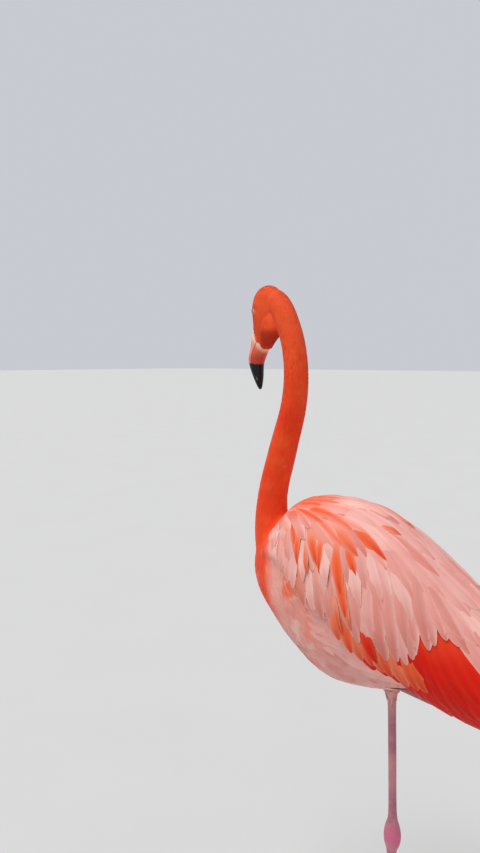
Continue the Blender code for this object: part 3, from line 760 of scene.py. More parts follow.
def neck_red(points, wide, fine):
    """The orange-red of the neck and head: brighter upwards, darker on the throat by painted shade under the
    jaw, mottled low down.
    """
    x, z = points[..., 0], points[..., 2]
    red = tinted(linear(VERMILION), SCARLET, ramp(wide, -0.2, 0.9) * 0.5)
    red = tinted(red, FLAME, ramp(z, 0.96, 1.08) * 0.75)
    red = tinted(red, ORANGE, ramp(-fine, 0.0, 0.9) * 0.35)
    # painted shade: the throat under the jaw is turned towards a dark red, as the shade that falls there
    throat = ramp(1.064 - z, 0.0, 0.012) * ramp(z, 1.020, 1.038)
    throat = throat * (1 - ramp(x, -0.204, -0.192)) * ramp(x, -0.243, -0.227)
    red = tinted(red, THROAT_SHADE_RED, 0.66 * throat)
    mottle = ramp(noise(points, 0.012, 4) + 0.5 * noise(points, 0.05, 5), 0.55, 0.95)
    return tinted(red, SALMON, 0.45 * mottle * (1 - ramp(z, 0.98, 1.04)) * ramp(z, 0.78, 0.86))


def body_tint(points):
    """The coat's colour on the body, neck and head."""
    x, z = points[..., 0], points[..., 2]
    wide, fine = noise(points, 0.045, 1), noise(points, 0.014, 2)
    neck = ramp(z + 0.35 * (x + 0.2), 0.735, 0.765)
    share = np.clip(neck * ramp(-x, 0.13, 0.165) + orange_share(points), 0, 1)
    share = np.maximum(share, ramp(z, 0.80, 0.83))
    return mix(body_pink(points, wide, fine), neck_red(points, wide, fine), share)


# Lie of the coat

# Slope of the coat below level along the body: x, degrees
LIE_SLOPES = ((-0.24, -0.20, -0.14, -0.06, 0.04, 0.14, 0.24), (88, 74, 52, 28, 6, -12, -24))
NAPE = np.array((-0.190, 0.005, 1.078))


def body_flow(points):
    """The direction in which the coat lies: down the neck and breast, then back to the tail."""
    x, z = points[:, 0], points[:, 2]
    slope = np.radians(np.interp(x, *LIE_SLOPES))
    slope = slope + np.radians(14) * ramp(z, 0.62, 0.74) * ramp(-x, -0.02, 0.1)
    return unit(np.stack((np.cos(slope), 0 * x, -np.sin(slope)), -1))


def neck_flow(points):
    """Down along the neck's middle line."""
    line = middle_line(NECK, 0, len(NECK) - 1, 240)
    along = -np.gradient(line, axis=0)
    return unit(along[squared_gaps(points, line).argmin(1)])


def head_flow(points):
    """From the bill's root up and back over the head to the nape, and back along the throat."""
    to_nape = NAPE - points
    near = 1 - ramp(np.linalg.norm(to_nape, axis=1), 0.02, 0.04)
    return unit(mix(unit(to_nape), neck_flow(points), near))


class Drape:
    """Snaps points to a mesh, but for a part left out, and gives its smooth normals there."""

    def __init__(self, obj, left_out):
        mesh = obj.data
        mesh.calc_loop_triangles()
        self.points = points_of(obj)
        faces = read_all(mesh.loop_triangles, "vertices", 3, np.int32)
        self.faces = faces[~left_out(self.points)[faces].any(1)]
        self.normals = read_all(mesh.vertices, "normal", 3, np.float32)
        self.tree = BVHTree.FromPolygons(self.points.tolist(), self.faces.tolist(), all_triangles=True)

    def snap(self, points):
        """The nearest points on the mesh and their smooth normals."""
        found = [self.tree.find_nearest(point) for point in points.tolist()]
        place = np.array([hit[0] for hit in found])
        face = self.faces[[hit[2] for hit in found]]
        a, b, c = (self.points[face[:, k]] for k in range(3))
        whole = np.linalg.norm(np.cross(b - a, c - a), axis=1) + TINY
        at_a = np.linalg.norm(np.cross(b - place, c - place), axis=1) / whole
        at_b = np.linalg.norm(np.cross(c - place, a - place), axis=1) / whole
        shares = (at_a, at_b, np.clip(1 - at_a - at_b, 0, 1))
        normal = sum(share[:, None] * self.normals[face[:, k]] for k, share in enumerate(shares))
        return place, unit(normal)


# Feathers

class Shape:
    """One kind of closed, tapered vane: its rings from root to tip, and its columns across."""

    def __init__(self, along, wide, columns):
        self.along = np.array(along)
        self.wide = np.array(wide)
        self.across = np.linspace(-1, 1, columns)
        self.ring = columns + 1
        self.points = len(along) * self.ring + 1

    def faces(self):
        """Quads and triangles of one vane, with its last point the tip."""
        rings = len(self.along)
        index = np.arange(rings * self.ring).reshape(rings, self.ring)
        after = np.roll(index, -1, axis=1)
        quads = np.stack((index[:-1], after[:-1], after[1:], index[1:]), -1).reshape(-1, 4)
        tip = np.full(self.ring, self.points - 1)
        ends = np.stack((index[-1], after[-1], tip), -1)
        root = [(0, k + 1, k) for k in range(1, self.ring - 1)]
        return quads, np.concatenate((ends, root))

    def borders(self):
        """1 for a point on the left edge, 2 for one on the right edge, and 3 for the tip."""
        flags = np.zeros(self.points, int)
        index = np.arange(len(self.along) * self.ring).reshape(-1, self.ring)
        flags[index[:, 0]] = 1
        flags[index[:, len(self.across) - 1]] = 2
        flags[-1] = 3
        return flags


def many(shape, count):
    """Faces and border flags of many vanes of one shape."""
    quads, triangles = shape.faces()
    shift = (np.arange(count) * shape.points)[:, None, None]
    quads = (quads[None] + shift).reshape(-1, 4)
    triangles = (triangles[None] + shift).reshape(-1, 3)
    return quads, triangles, np.tile(shape.borders(), count)


def crease_edges(obj, flags):
    """Keeps the shading of a vane's two sides apart along its edges."""
    mesh = obj.data
    first, second = flags[read_all(mesh.edges, "vertices", 2, np.int32)].T
    sharp = (first > 0) & (second > 0) & ((first == second) | (first == 3) | (second == 3))
    layer = mesh.attributes.new("sharp_edge", "BOOLEAN", "EDGE")
    layer.data.foreach_set("value", sharp)


def volume_sign(points, quads):
    """Positive where the faces of these closed vanes look outwards."""
    a, b, c, d = (points[quads[:, k]] for k in range(4))
    return sum(np.einsum("ij,ij->i", a, np.cross(*pair)).sum() for pair in ((b, c), (c, d)))


def coat_object(name, shape, body, tint, vane, bake, material, shown=None, nodes=()):
    """Joins vanes into one piece: each one's points, their colours, two maps and shown normals."""
    quads, triangles, flags = many(shape, len(body))
    points = body.reshape(-1, 3)
    if volume_sign(points - points.mean(0), quads) < 0:
        quads, triangles = quads[:, ::-1], triangles[:, ::-1]
    obj = mesh_object(name, points, [quads, triangles])
    paint(obj, tint.reshape(-1, 3))
    add_map(obj, "OFBake", bake.reshape(-1, 2))
    add_map(obj, "Vane", vane.reshape(-1, 2))
    if shown is None:
        crease_edges(obj, flags)
    else:
        corners = np.concatenate((quads.ravel(), triangles.ravel()))
        sides = np.concatenate(upper_corners(shape, len(body)))
        obj.data.normals_split_custom_set((shown.reshape(-1, 3)[corners] * sides[:, None]).tolist())
    finish_piece(obj, material, nodes)


def upper_corners(shape, count):
    """1 for a corner of a face on top of a vane and -1 for one underneath: of its quads, then triangles."""
    turn = np.where(np.arange(shape.ring) < shape.ring - 2, 1.0, -1.0)
    quads = np.tile(turn, count * (len(shape.along) - 1))
    triangles = np.tile(np.append(turn, -np.ones(shape.ring - 2)), count)
    return np.repeat(quads, 4), np.repeat(triangles, 3)


def with_tip(body, tip):
    """Adds the tip's values after those of a vane's rings."""
    count = len(body)
    return np.concatenate((body.reshape(count, -1, body.shape[-1]), tip.reshape(count, 1, -1)), 1)


def vane_parts(shape):
    """Where each point of a ring lies: its share across, and 1 for the point underneath."""
    across = np.append(shape.across, 0.0)
    under = np.append(np.zeros(len(shape.across)), 1.0)
    return across[None, None], under[None, None]


def vane_maps(shape, length, half, roots_at, patch):
    """The maps of each vane: metres across and along it, and its patch at its root's place."""
    across, _ = vane_parts(shape)
    t = shape.along[None, :, None] + 0 * across
    shift = half[..., None] * across
    vane = np.stack((shift, t * length[:, None, None]), -1)
    vane = with_tip(vane, np.stack((0 * length, length), -1))
    spot = np.stack((across * patch / 2 + 0 * shift, (t - 0.5) * patch + 0 * shift), -1)
    spot = with_tip(spot, np.tile((0.0, patch / 2), (len(length), 1)))
    return vane, spot + roots_at[:, None]


def spine_on(drape, roots, flow, length, steps, stray):
    """Lines from the roots along the flow on the mesh: points and normals at each step."""
    place, normal = drape.snap(roots)
    places, normals = [place], [normal]
    heading = None
    for near, far in zip(steps, steps[1:]):
        ahead = flow(place)
        ahead = unit(ahead - (ahead * normal).sum(1)[:, None] * normal)
        ahead = unit(ahead + stray[:, None] * np.cross(ahead, normal))
        heading = ahead if heading is None else unit(0.6 * heading + ahead)
        place, normal = drape.snap(place + heading * (length * (far - near))[:, None])
        places.append(place)
        normals.append(normal)
    return np.stack(places, 1), np.stack(normals, 1)


def fine_spine(roots, flow, length, t, stray):
    """Lines over the skin from the roots along the flow: points and normals at each t."""
    coarse = np.linspace(0, 1, min(len(t), 5))
    parts = spine_on(skin_drape, roots, flow, length, coarse, stray)
    fine = [[np.interp(t, coarse, v) for v in np.moveaxis(part, 0, -1).reshape(len(coarse), -1).T]
            for part in parts]
    line, over = np.array(fine).reshape(2, 3, len(roots), len(t)).transpose(0, 2, 3, 1)
    return line, unit(over)


def spread_tint(tint, t, shape, uneven, rim):
    """Colours for all points of vanes from those along their lines: uneven, paler at the rim, and darker
    underneath by painted shade.
    """
    count, rings = len(tint), len(shape.along)
    across, under = vane_parts(shape)
    tint = tint * draw.uniform(1 - uneven, 1 + uneven, (count, 1, 1))
    tint = tint * draw.uniform(1 - uneven / 2, 1 + uneven / 2, (count, 1, 3))
    tint = np.clip(tint * (1 + rim * (t**3)[None, :, None]), 0, 1)
    spread = tint[:, :rings, None] * (1 + 0.6 * rim * np.abs(across[..., None]) ** 3)
    # painted shade: the point underneath each vane is made 10% darker
    spread = spread * (1 - 0.10 * under[..., None])
    return with_tip(np.clip(spread, 0, 1), tint[:, -1])


def draped(name, coat, roots, flow, length, width, rise, tint_at, roots_at):
    """Small feathers on the skin, from their roots along the lie of the coat."""
    shape, slot, stray, camber, soften, fray, sunk, curl, uneven, rim, scatter, thick = COATS[coat]
    count, rings = len(roots), len(shape.along)
    t = np.append(shape.along, 1.0)
    line, over = fine_spine(roots, flow, length, t, draw.normal(0, stray, count))
    ahead = unit(np.gradient(line, axis=1))
    side = unit(np.cross(ahead, over))
    rise = rise * np.ones(count)
    high = rise[:, None] * (-sunk + (1 + sunk) * t[None] ** 0.75)
    high = high * draw.uniform(1 - scatter, 1 + scatter, (count, 1))
    line = line + (high + curl * rise[:, None] * t[None] ** 4)[..., None] * over
    half = width[:, None] / 2 * shape.wide[None] * draw.uniform(1 - fray, 1 + fray, (count, rings))
    across, under = vane_parts(shape)
    shift = half[..., None] * across
    arch = camber * half[..., None] * across**2 * (len(shape.across) > 2)
    up = thick * (1 - under) - arch
    tilt = draw.normal(0, 0.06, (count, 1, 1)) * shift
    jag = fray * 1.2 * half[..., None] * draw.uniform(-1, 1, (count, rings, shape.ring)) * (across != 0)
    jag = jag * (t[None, :rings, None] > 0.2)
    line_in, ahead_in, side_in, over_in = (part[:, :rings, None] for part in (line, ahead, side, over))
    body = line_in + shift[..., None] * side_in
    body = with_tip(body + (up + tilt)[..., None] * over_in + jag[..., None] * ahead_in, line[:, -1])
    vane, bake = vane_maps(shape, length, half, roots_at, SMALL_PATCH)
    tint = spread_tint(tint_at(line), t, shape, uneven, rim)
    lean = (1 - soften) * across[..., None] * side_in
    shown = unit(with_tip(over_in + lean, over[:, -1]))
    coat_object(name, shape, body, tint, vane, bake, soft, shown)


def vane_shape(rings, columns, blunt=3.0, root=0.45, widest=0.4):
    """A vane that widens from its root and rounds off to its tip."""
    along = 1 - (1 - np.linspace(0, 1, rings + 1)[:-1]) ** 1.35
    along[0] = 0.0
    before = root + (1 - root) * np.sin(np.minimum(along / widest, 1) * math.pi / 2)
    after = (1 - (np.maximum(along - widest, 0) / (1 - widest)) ** blunt) ** 0.62
    return Shape(along, before * after, columns)


hair = vane_shape(3, 2, 1.6, 0.7)
lock = vane_shape(4, 3, 2.0, 0.6)
plume = vane_shape(8, 5, 2.6, 0.45)
slender = vane_shape(12, 7, 1.9, 0.5, 0.35)
broad = vane_shape(12, 7, 2.8, 0.5)
flight = vane_shape(22, 11, 3.2, 0.4)

SMALL_PATCH = 0.003  # of the unwrap, for each small feather
# Small feathers of each coat: shape, slot, stray from the coat's lie, camber, softness of shading,
# raggedness, depth of the root and curl of the tip as shares of the rise, unevenness of colour,
# paleness of the rim, scatter of the rise, thickness
COATS = {
    "body": (broad, "feathers_pink", 0.12, 0.14, 0.90, 0.05, 0.1, -0.6, 0.05, 0.08, 0.08, 0.0003),
    "down": (plume, "feathers_pink", 0.08, 0.25, 0.97, 0.10, -0.4, -0.8, 0.05, 0.16, 0.08, 0.0003),
    "front": (plume, "feathers_red", 0.09, 0.18, 0.92, 0.06, 0.1, -0.6, 0.05, 0.06, 0.10, 0.0003),
    "leg_roots": (lock, "feathers_pink", 0.10, 0.25, 0.90, 0.10, 0.1, -0.4, 0.05, 0.08, 0.25, 0.0003),
    "fold": (slender, "feathers_pink", 0.12, 0.20, 0.85, 0.04, 0.1, -0.35, 0.05, 0.10, 0.06, 0.0003),
    "shoulders": (plume, "feathers_pink", 0.12, 0.16, 0.90, 0.05, 0.1, -0.5, 0.05, 0.08, 0.06, 0.0003),
    "neck": (lock, "feathers_red", 0.07, 0.25, 0.92, 0.10, 0.2, -0.6, 0.05, 0.05, 0.12, 0.0003),
    "head": (hair, "feathers_red", 0.10, 0.25, 0.90, 0.10, 0.4, -0.62, 0.06, 0.06, 0.12, 0.0002),
    "thigh": (lock, "feathers_pink", 0.12, 0.25, 0.75, 0.10, 0.4, -0.5, 0.07, 0.10, 0.10, 0.0003),
    "vent": (plume, "feathers_pink", 0.10, 0.16, 0.90, 0.05, 0.1, -0.6, 0.05, 0.08, 0.10, 0.0003),
}


# Skin

def torso_core():
    """The body's flesh, under the coat."""
    x = curve(TORSO, np.linspace(0.12, len(TORSO) - 1.1, 100))[:, :1]
    angles = np.linspace(0, 2 * math.pi, 96, endpoint=False)[None]
    row = row_at(TORSO, x)
    middle, high = section(row)
    high, half = (np.maximum(size - COAT_TORSO, 0.003) for size in (high, row[..., 3]))
    rings = np.stack((x + 0 * angles, -half * np.sin(angles), middle + high * np.cos(angles)), -1)
    return tube(rings, "torso_core")


def wing_core(side):
    """The folded wing's flesh, on the body's side."""
    x = np.linspace(WING[0, 0], WING[-1, 0] - 0.004, 60)[:, None]
    row = row_at(WING, x[:, 0])
    degrees = 2 + (row[:, 4:5] - 2) * np.linspace(0, 1, 40)[None]
    thick = row[:, 5:6] + 0 * degrees
    outer = wing_point(x + 0 * degrees, degrees, 0 * degrees - 0.001, side)
    inner = wing_point(x + 0 * degrees, degrees, -thick - 0.004, side)
    return tube(np.concatenate((outer, inner[:, ::-1]), 1), f"wing_core_{side}")


def tail_core():
    """The tail's flesh."""
    return tube(line_rings(TAIL, np.linspace(0, 3, 40), 0.0, 40), "tail_core")


def neck_core():
    """The neck's flesh, under the coat."""
    return tube(line_rings(NECK, np.linspace(0, len(NECK) - 1, 260), -COAT_NECK, 48), "neck_core")


def smooth_points(points, ends, strength, rounds):
    """Evens out a mesh's points, each by its own strength."""
    count = len(points)
    links = np.bincount(ends.ravel(), minlength=count)[:, None]
    for _ in range(rounds):
        total = np.zeros_like(points)
        for axis in range(3):
            total[:, axis] = np.bincount(ends[:, 0], points[ends[:, 1], axis], count)
            total[:, axis] += np.bincount(ends[:, 1], points[ends[:, 0], axis], count)
        points = points + strength[:, None] * (total / np.maximum(links, 1) - points)
    return points


def body_core():
    """Torso, wings, neck and thighs as one closed surface with soft joins."""
    base = torso_core()
    thighs = (line_rings(LEG_LEFT[:4], np.linspace(0, 2.6, 30), -0.002, 32),
              line_rings(SHANK_RIGHT[:5], np.linspace(0, 3.1, 40), -0.003, 32))
    others = [wing_core(1), wing_core(-1), tail_core(), neck_core()]
    combine(base, others + [tube(rings, "thigh") for rings in thighs], "UNION")
    step = base.modifiers.new("even", "REMESH")
    step.mode = "VOXEL"
    step.voxel_size = 0.0029
    apply_modifiers(base)
    points = points_of(base)
    ends = read_all(base.data.edges, "vertices", 2, np.int32)
    neck = ramp(points[:, 2], 0.78, 0.84)
    leg = 1 - ramp(points[:, 2], 0.505, 0.525)
    strength = 0.55 * (1 - 0.85 * np.maximum(neck, leg))
    points = smooth_points(points, ends, strength, 16)
    base.data.vertices.foreach_set("co", points.astype(np.float32).ravel())
    base.data.update()
    return base


def skull_shape(down, angles):
    """Cheeks, the ridges over the eyes, the hollows of the eyes and folds of the lores."""
    front, aside = np.cos(angles), np.abs(np.sin(angles))
    brow = 0.0012 * bell(down, -0.0085, 0.006) * bell(front, 0.25, 0.35) * aside
    socket = -0.0007 * bell(down, 0, 0.0075) * bell(front, 0.05, 0.33) * aside**2
    cheek = 0.0009 * bell(down, 0.022, 0.010) * bell(front, -0.55, 0.35)
    lore = -0.0009 * bell(down, 0.018, 0.009) * bell(front, 0.55, 0.25) * aside
    folds = 0.00014 * np.sin(down * 3400 + 3 * front) * bell(down, 0.026, 0.012) * np.maximum(0, front)
    return brow + socket + cheek + lore + folds


def skull_core():
    """The head's flesh down to the bill's root."""
    t = np.linspace(0, len(SKULL) - 1.4, 110)
    return tube(head_rings(SKULL, t, 120, -COAT_HEAD, skull_shape), "skull_core")


def throat_core():
    """The throat's flesh."""
    t = np.linspace(0, len(THROAT) - 1, 70)
    return tube(head_rings(THROAT, t, 90, -COAT_HEAD), "throat_core")


def lid(side):
    """The lids: an almond-shaped rim round an eye with fine folds, its corners in line with the bill."""
    around, across = 96, 14
    long, tall, turn = 0.0054, 0.0044, 0.35
    a = np.linspace(0, 2 * math.pi, around, endpoint=False)[:, None]
    b = np.linspace(0, 2 * math.pi, across, endpoint=False)[None]
    crease = 1 + 0.16 * np.sin(9 * a + 1.3 * side) * np.sin(4 * a)
    thick = 0.00080 * (1 + 0.25 * np.cos(a - 2.4)) * crease
    far = 1 + thick / long * np.cos(b)
    corner = 1 + 0.10 * np.abs(np.cos(a)) ** 8
    out = EYE_OUT + 0.0037 - 0.0009 * np.abs(np.cos(a)) ** 3 + 0.8 * thick * np.sin(b)
    u, v = long * far * corner * np.cos(a), tall * far * np.sin(a)
    down = u * math.cos(turn) - v * math.sin(turn)
    front = u * math.sin(turn) + v * math.cos(turn)
    points = head_point(down, front, side * out)
    index = np.arange(around * across).reshape(around, across)
    after, beside = np.roll(index, -1, 0), np.roll(index, -1, 1)
    faces = np.stack((index, beside, np.roll(after, -1, 1), after), -1).reshape(-1, 4)
    return faced_out(mesh_object("lid", points.reshape(-1, 3), [faces]))


def scutes(s, angles, front_at, plate=0.0047, depth=0.00034):
    """Relief of a leg's scales: broad plates down its front, and small square ones elsewhere."""
    toward = np.cos(angles - front_at)
    broad = ramp(toward, 0.35, 0.55)
    row = s / plate + 0.10 * np.sin(s * 410) - 0.12 * (1 - toward)
    groove = bell(row % 1.0, 0.5, 0.08)
    side = bell(toward, 0.45, 0.05)
    small = plate * 0.52
    line = s / small
    shifted = angles * 0.0063 / small * 1.25 + 0.5 * (np.floor(line) % 2)
    off = np.maximum(np.abs((shifted % 1.0) - 0.5), np.abs((line % 1.0) - 0.5))
    net = ramp(0.5 - off, 0.0, 0.16) - 1
    return depth * (-broad * groove - 0.8 * side + (1 - broad) * (1 - side) * 0.75 * net)


def along_line(rows, t):
    """Distance along the line through rows at each t."""
    places = curve(rows, t, 3)[:, :3]
    return np.concatenate(((0,), np.cumsum(np.linalg.norm(np.diff(places, axis=0), axis=1))))


def even_steps(rows, first, last, spacing):
    """Places on the line through rows from first to last that are evenly far apart."""
    t = np.linspace(first, last, 2000)
    s = along_line(rows, t)
    return np.interp(np.linspace(0, s[-1], max(int(s[-1] / spacing), 4)), s, t)


def leg(rows, first, last, spacing, sides, front_at, fade):
    """A bare length of a leg, whose scales begin within a short way of its first place."""
    t = even_steps(rows, first, last, spacing)
    s = along_line(rows, t)[:, None]
    relief = scutes(s, turns(sides)[None], front_at) * ramp(s, fade, fade + 0.02)
    return tube(line_rings(rows, t, 0.0, sides, relief), "leg")


def toe_frame(turn, back):
    """A toe's root on the floor, the direction in which it points, and the one across it."""
    ahead = np.array((-math.cos(turn), math.sin(turn), 0))
    across = np.array((math.sin(turn), math.cos(turn), 0)) * -1
    return TOE_ROOT + (back, 0, 0), ahead, across


def toe(turn, length, radius, back, rings, sides):
    """A toe with swollen joints and plates over its top, flat underneath on the floor."""
    root, ahead, across = toe_frame(math.radians(turn), back)
    t = np.linspace(0, 1 - CLAW_SHARE * 0.8, rings)[:, None]
    top, bottom = np.linspace(0, math.pi, sides - 12), np.linspace(math.pi, 2 * math.pi, 14)[1:-1]
    a = np.concatenate((top, bottom))[None]
    swell = 1 + 0.13 * np.cos(t * 3 * 2 * math.pi) ** 3
    wide = radius * (1 - 0.52 * t) * swell
    tall = radius * (1.75 - 1.12 * t) * swell
    close = np.sqrt(np.maximum(0.0, 1 - (np.maximum(0, t - 0.84) / 0.033) ** 2)) * 0.75 + 0.25
    plates = 0.00030 * bell(t * length / 0.0026 % 1.0, 0.5, 0.11)
    upper = np.maximum(0, np.sin(a))
    high = np.where(np.sin(a) < 0, 0.0, tall * close * upper**0.8 - plates * upper)
    out = wide * close * np.cos(a) * (1 - 0.04 * plates / 0.0003)
    points = root + ahead * length * t[..., None] + across * out[..., None]
    return tube(points + UPWARD * high[..., None], "toe")


def claw(turn, length, radius, back):
    """A short blunt nail over the toe's end."""
    root, ahead, across = toe_frame(math.radians(turn), back)
    t = np.linspace(0, 1, 18)[:, None]
    a = np.linspace(0, 2 * math.pi, 20, endpoint=False)[None]
    close = np.sqrt(np.maximum(0.0, 1 - t**2.4)) * 0.92 + 0.08
    wide, tall = radius * 0.40 * close, radius * 0.44 * close
    from_root = length * (1 - CLAW_SHARE) + length * CLAW_SHARE * t
    middle = 0.0022 + radius * 0.14 - 0.0016 * t**1.6
    high = np.maximum(middle + tall * np.sin(a), 0.0)
    points = root + ahead * from_root[..., None] + across * (wide * np.cos(a))[..., None]
    return tube(points + UPWARD * high[..., None], "claw")


def web(toe_a, toe_b):
    """The skin between two toes, hollow in front, with folds that run out from the foot."""
    turn_a, turn_b = math.radians(toe_a[0]), math.radians(toe_b[0])
    fan = np.linspace(0, 1, 60)[:, None]
    far = np.linspace(0.04, 1, 60)[None]
    turn = turn_a + (turn_b - turn_a) * fan
    edge = (toe_a[1] * (1 - fan) + toe_b[1] * fan) * (0.82 - 0.20 * np.sin(math.pi * fan))
    out = edge * far
    x, y = TOE_ROOT[0] - np.cos(turn) * out, TOE_ROOT[1] + np.sin(turn) * out
    folds = 0.00022 * np.sin(fan * 40 + 5 * np.sin(7 * far)) * np.sin(math.pi * fan)
    net = 0.00010 * np.sin(out * 2400 + 9 * np.sin(fan * 23))
    high = 0.0019 + 0.0018 * (1 - far) ** 2 + folds + net + 0.0006 * far**8
    top, low = np.stack((x, y, high), -1), np.stack((x, y, 0 * high + 0.0003), -1)
    return tube(np.concatenate((top, low[:, ::-1]), 1), "web")


def folded_toe_rows(shift):
    """Rows of one of the lifted foot's closed toes; shift is -1, 0 or 1 from side to side."""
    rows = FOOT_RIGHT.copy()
    at = np.arange(len(rows))
    rows[:, 1] += shift * np.interp(at, (0, 1, 4), (0.0015, 0.0050, 0.0044))
    rows[:, 2] -= 0.0012 * abs(shift)
    rows[:, 0] += 0.006 * abs(shift) * at / 4
    rows[:, 3] = np.interp(at, (0, 1, 4), (0.0058, 0.0052, 0.0027))
    rows[:, 4] = rows[:, 3] * 0.80
    return rows


def folded_claw(shift):
    """The claw at the end of a closed toe."""
    rows = folded_toe_rows(shift)
    end = rows[-1, :3]
    ahead = (end - rows[-2, :3]) / np.linalg.norm(end - rows[-2, :3])
    nail = np.array([(*(end + ahead * out + (0, 0, drop)), size, size * 0.8)
                     for out, drop, size in FOLDED_CLAW])
    return tube(line_rings(nail, np.linspace(0, 4, 28), 0.0, 18), "claw_folded")


def folded_toes():
    """The lifted foot's closed front toes, side by side, with the folded web between them."""
    pieces = []
    sides = 24
    for shift in (-1, 0, 1):
        rows = folded_toe_rows(shift)
        t = even_steps(rows, 0, len(rows) - 1.0, 0.0008)
        s = along_line(rows, t)[:, None]
        relief = scutes(s, turns(sides)[None], math.pi, 0.0026, 0.00026)
        swell = 0.0005 * np.cos(s * 2 * math.pi / 0.026) + relief
        pieces.append(tube(line_rings(rows, t, 0.0, sides, swell), "toe_folded"))
    rows = FOOT_RIGHT * (1, 1, 1, 0.45, 0.92)
    pieces.append(tube(line_rings(rows, np.linspace(0.4, 3.7, 60), 0.0, 40), "web_folded"))
    return pieces


def ankle_tube():
    """The folded leg's ankle."""
    sides = 44
    t = np.linspace(0, len(ANKLE_RIGHT) - 1, 70)
    s = along_line(ANKLE_RIGHT, t)[:, None]
    relief = scutes(s, turns(sides)[None], math.pi, 0.004, 0.0003)
    return tube(line_rings(ANKLE_RIGHT, t, 0.0, sides, relief), "ankle")


def make_skin():
    """The whole skin as one closed mesh, with open sockets for the eyes."""
    base = body_core()
    others = [skull_core(), throat_core(), lid(1), lid(-1)]
    others += [leg(*limb) for limb in LIMBS]
    others.append(ankle_tube())
    others += folded_toes()
    others += [toe(*row) for row in TOES]
    others += [web(TOES[0], other) for other in TOES[1:3]]
    combine(base, others, "UNION")
    combine(base, [eyeball(side, EYE_RADIUS + 0.0002, 32) for side in (1, -1)], "DIFFERENCE")
    base.name = "skin"
    return base


def skin_tint(points):
    """The bare skin's colour: the coat's under the feathers, pale lores, and pink legs."""
    x, y, z = points.T
    down, front, _ = head_place(points)
    folds = 0.5 + 0.5 * noise(points, 0.004, 8)
    lores = tinted(linear(LORE), LORE_FOLD, folds * 0.6)
    lores = tinted(lores, EYE_RING, (1 - ramp(np.hypot(down, front), 0.0062, 0.0085)) * 0.9)
    tint = mix(body_tint(points), lores, face_share(points))
    folded = (y > 0.012) & (z > 0.485) & (z < 0.56) & (np.abs(y - 0.03) < 0.03)
    leg_share = np.maximum(1 - ramp(z, 0.506, 0.524), folded * outside_body(points))
    leg = tinted(linear(LEG_PINK), LEG_SHADE, ramp(noise(points, 0.03, 9), -0.5, 0.8))
    leg = tinted(leg, LEG_LIGHT, ramp(noise(points, 0.009, 10), 0.1, 1.0) * 0.5)
    left_ankle = bell(z, 0.298, 0.017)
    right_ankle = bell(x, 0.229, 0.016) * (z < 0.535)
    leg = tinted(leg, ANKLE_PINK, np.clip(np.where(z > 0.45, right_ankle, left_ankle), 0, 1) * 0.75)
    leg = tinted(leg, FOOT_SHADE, (1 - ramp(z, 0.0, 0.03)) * 0.35)
    return mix(tint, leg, leg_share)


def on_limbs(points):
    """True for a point of the bare legs and feet, which no feather is laid on."""
    lines = np.concatenate([middle_line(rows, first, len(rows) - 1, 60)
                            for rows, first in ((TARSUS_RIGHT, 0), (SHANK_RIGHT, 4.0))])
    near = np.zeros(len(points), bool)
    check = np.flatnonzero(points[:, 2] < 0.60)
    near[check] = squared_gaps(points[check], lines).min(1) < 0.0175**2
    return (points[:, 2] < 0.500) | (near & (outside_body(points) > 0.5))


def outside_body(points):
    """1 where a point is outside the torso's sections, so that it is on a leg."""
    return np.where((points[:, 0] < 0.235) & (torso_share(points) < 1.0), 0.0, 1.0)


def face_share(points):
    """Bare skin round the eyes and from them to the bill."""
    down, front, _ = head_place(points)
    ring = 1 - ramp(np.hypot(down, front), 0.0060, 0.0068)
    edge = np.interp(down, *FACE_EDGE.T)
    lore = ramp(front - edge, -0.0003, 0.0006) * ramp(down, -0.001, 0.003)
    near = (points[..., 2] > 1.02) & (front > -0.03)
    return np.maximum(ring, lore) * near


# Eyes, bill and claws

def eyeball(side, radius, sides):
    """An eyeball with a bulging cornea, round a line that points out of the head."""
    t = np.concatenate((np.linspace(0, 0.45, 40), np.linspace(0.45, math.pi, 30)[1:]))
    bulge = 1 + 0.06 * (1 - ramp(t, 0.25, 0.62))
    out, wide = radius * np.cos(t) * bulge, radius * np.sin(t) * bulge
    a = np.linspace(0, 2 * math.pi, sides, endpoint=False)
    down = wide[:, None] * np.cos(a)
    front = wide[:, None] * np.sin(a)
    across = out[:, None] + 0 * front
    cosine, sine = math.cos(EYE_LEAN), math.sin(EYE_LEAN)
    front, across = front * cosine + across * sine, across * cosine - front * sine
    return tube(head_point(down, front, side * (EYE_OUT + across)), "eyeball")


def make_eyes():
    """Each eye with a black pupil, a pale yellow iris and a dark rim."""
    for side, name in SIDES:
        eye = eyeball(side, EYE_RADIUS, 64)
        eye.name = f"eye_{name}_ball"
        points = points_of(eye)
        center = head_point(0, 0, side * EYE_OUT).reshape(3)
        axis = unit(math.cos(EYE_LEAN) * side * LEFT + math.sin(EYE_LEAN) * AHEAD)
        off = np.degrees(np.arccos(np.clip(unit(points - center) @ axis, -1, 1)))
        iris = tinted(linear(IRIS_PALE), IRIS_GOLD, ramp(noise(points, 0.0008, 11), -0.2, 0.8))
        tint = mix(linear(PUPIL), iris, ramp(off, 14.5, 16.5))
        tint = tinted(tint, IRIS_RIM, ramp(off, 33, 37))
        tint = tinted(tint, EYE_CORNER, ramp(off, 44, 52))
        paint(eye, tint)
        finish_piece(eye, wet, (f"eye_{name}",))


def bill_shape(down, angles):
    """The bill's ridge, the flats beside it, and fine lines along its sides."""
    front = np.cos(angles)
    ridge = 0.0007 * bell(front, 1, 0.09) * ramp(down, 0.05, 0.075)
    flat = -0.0007 * bell(front, 0.62, 0.16) * ramp(down, 0.045, 0.065) * (1 - ramp(down, 0.10, 0.12))
    lines = 0.00010 * np.sin(angles * 34 + 1.2 * np.sin(down * 160)) * (1 - np.abs(front) ** 3)
    return ridge + flat + lines * ramp(down, 0.045, 0.06)


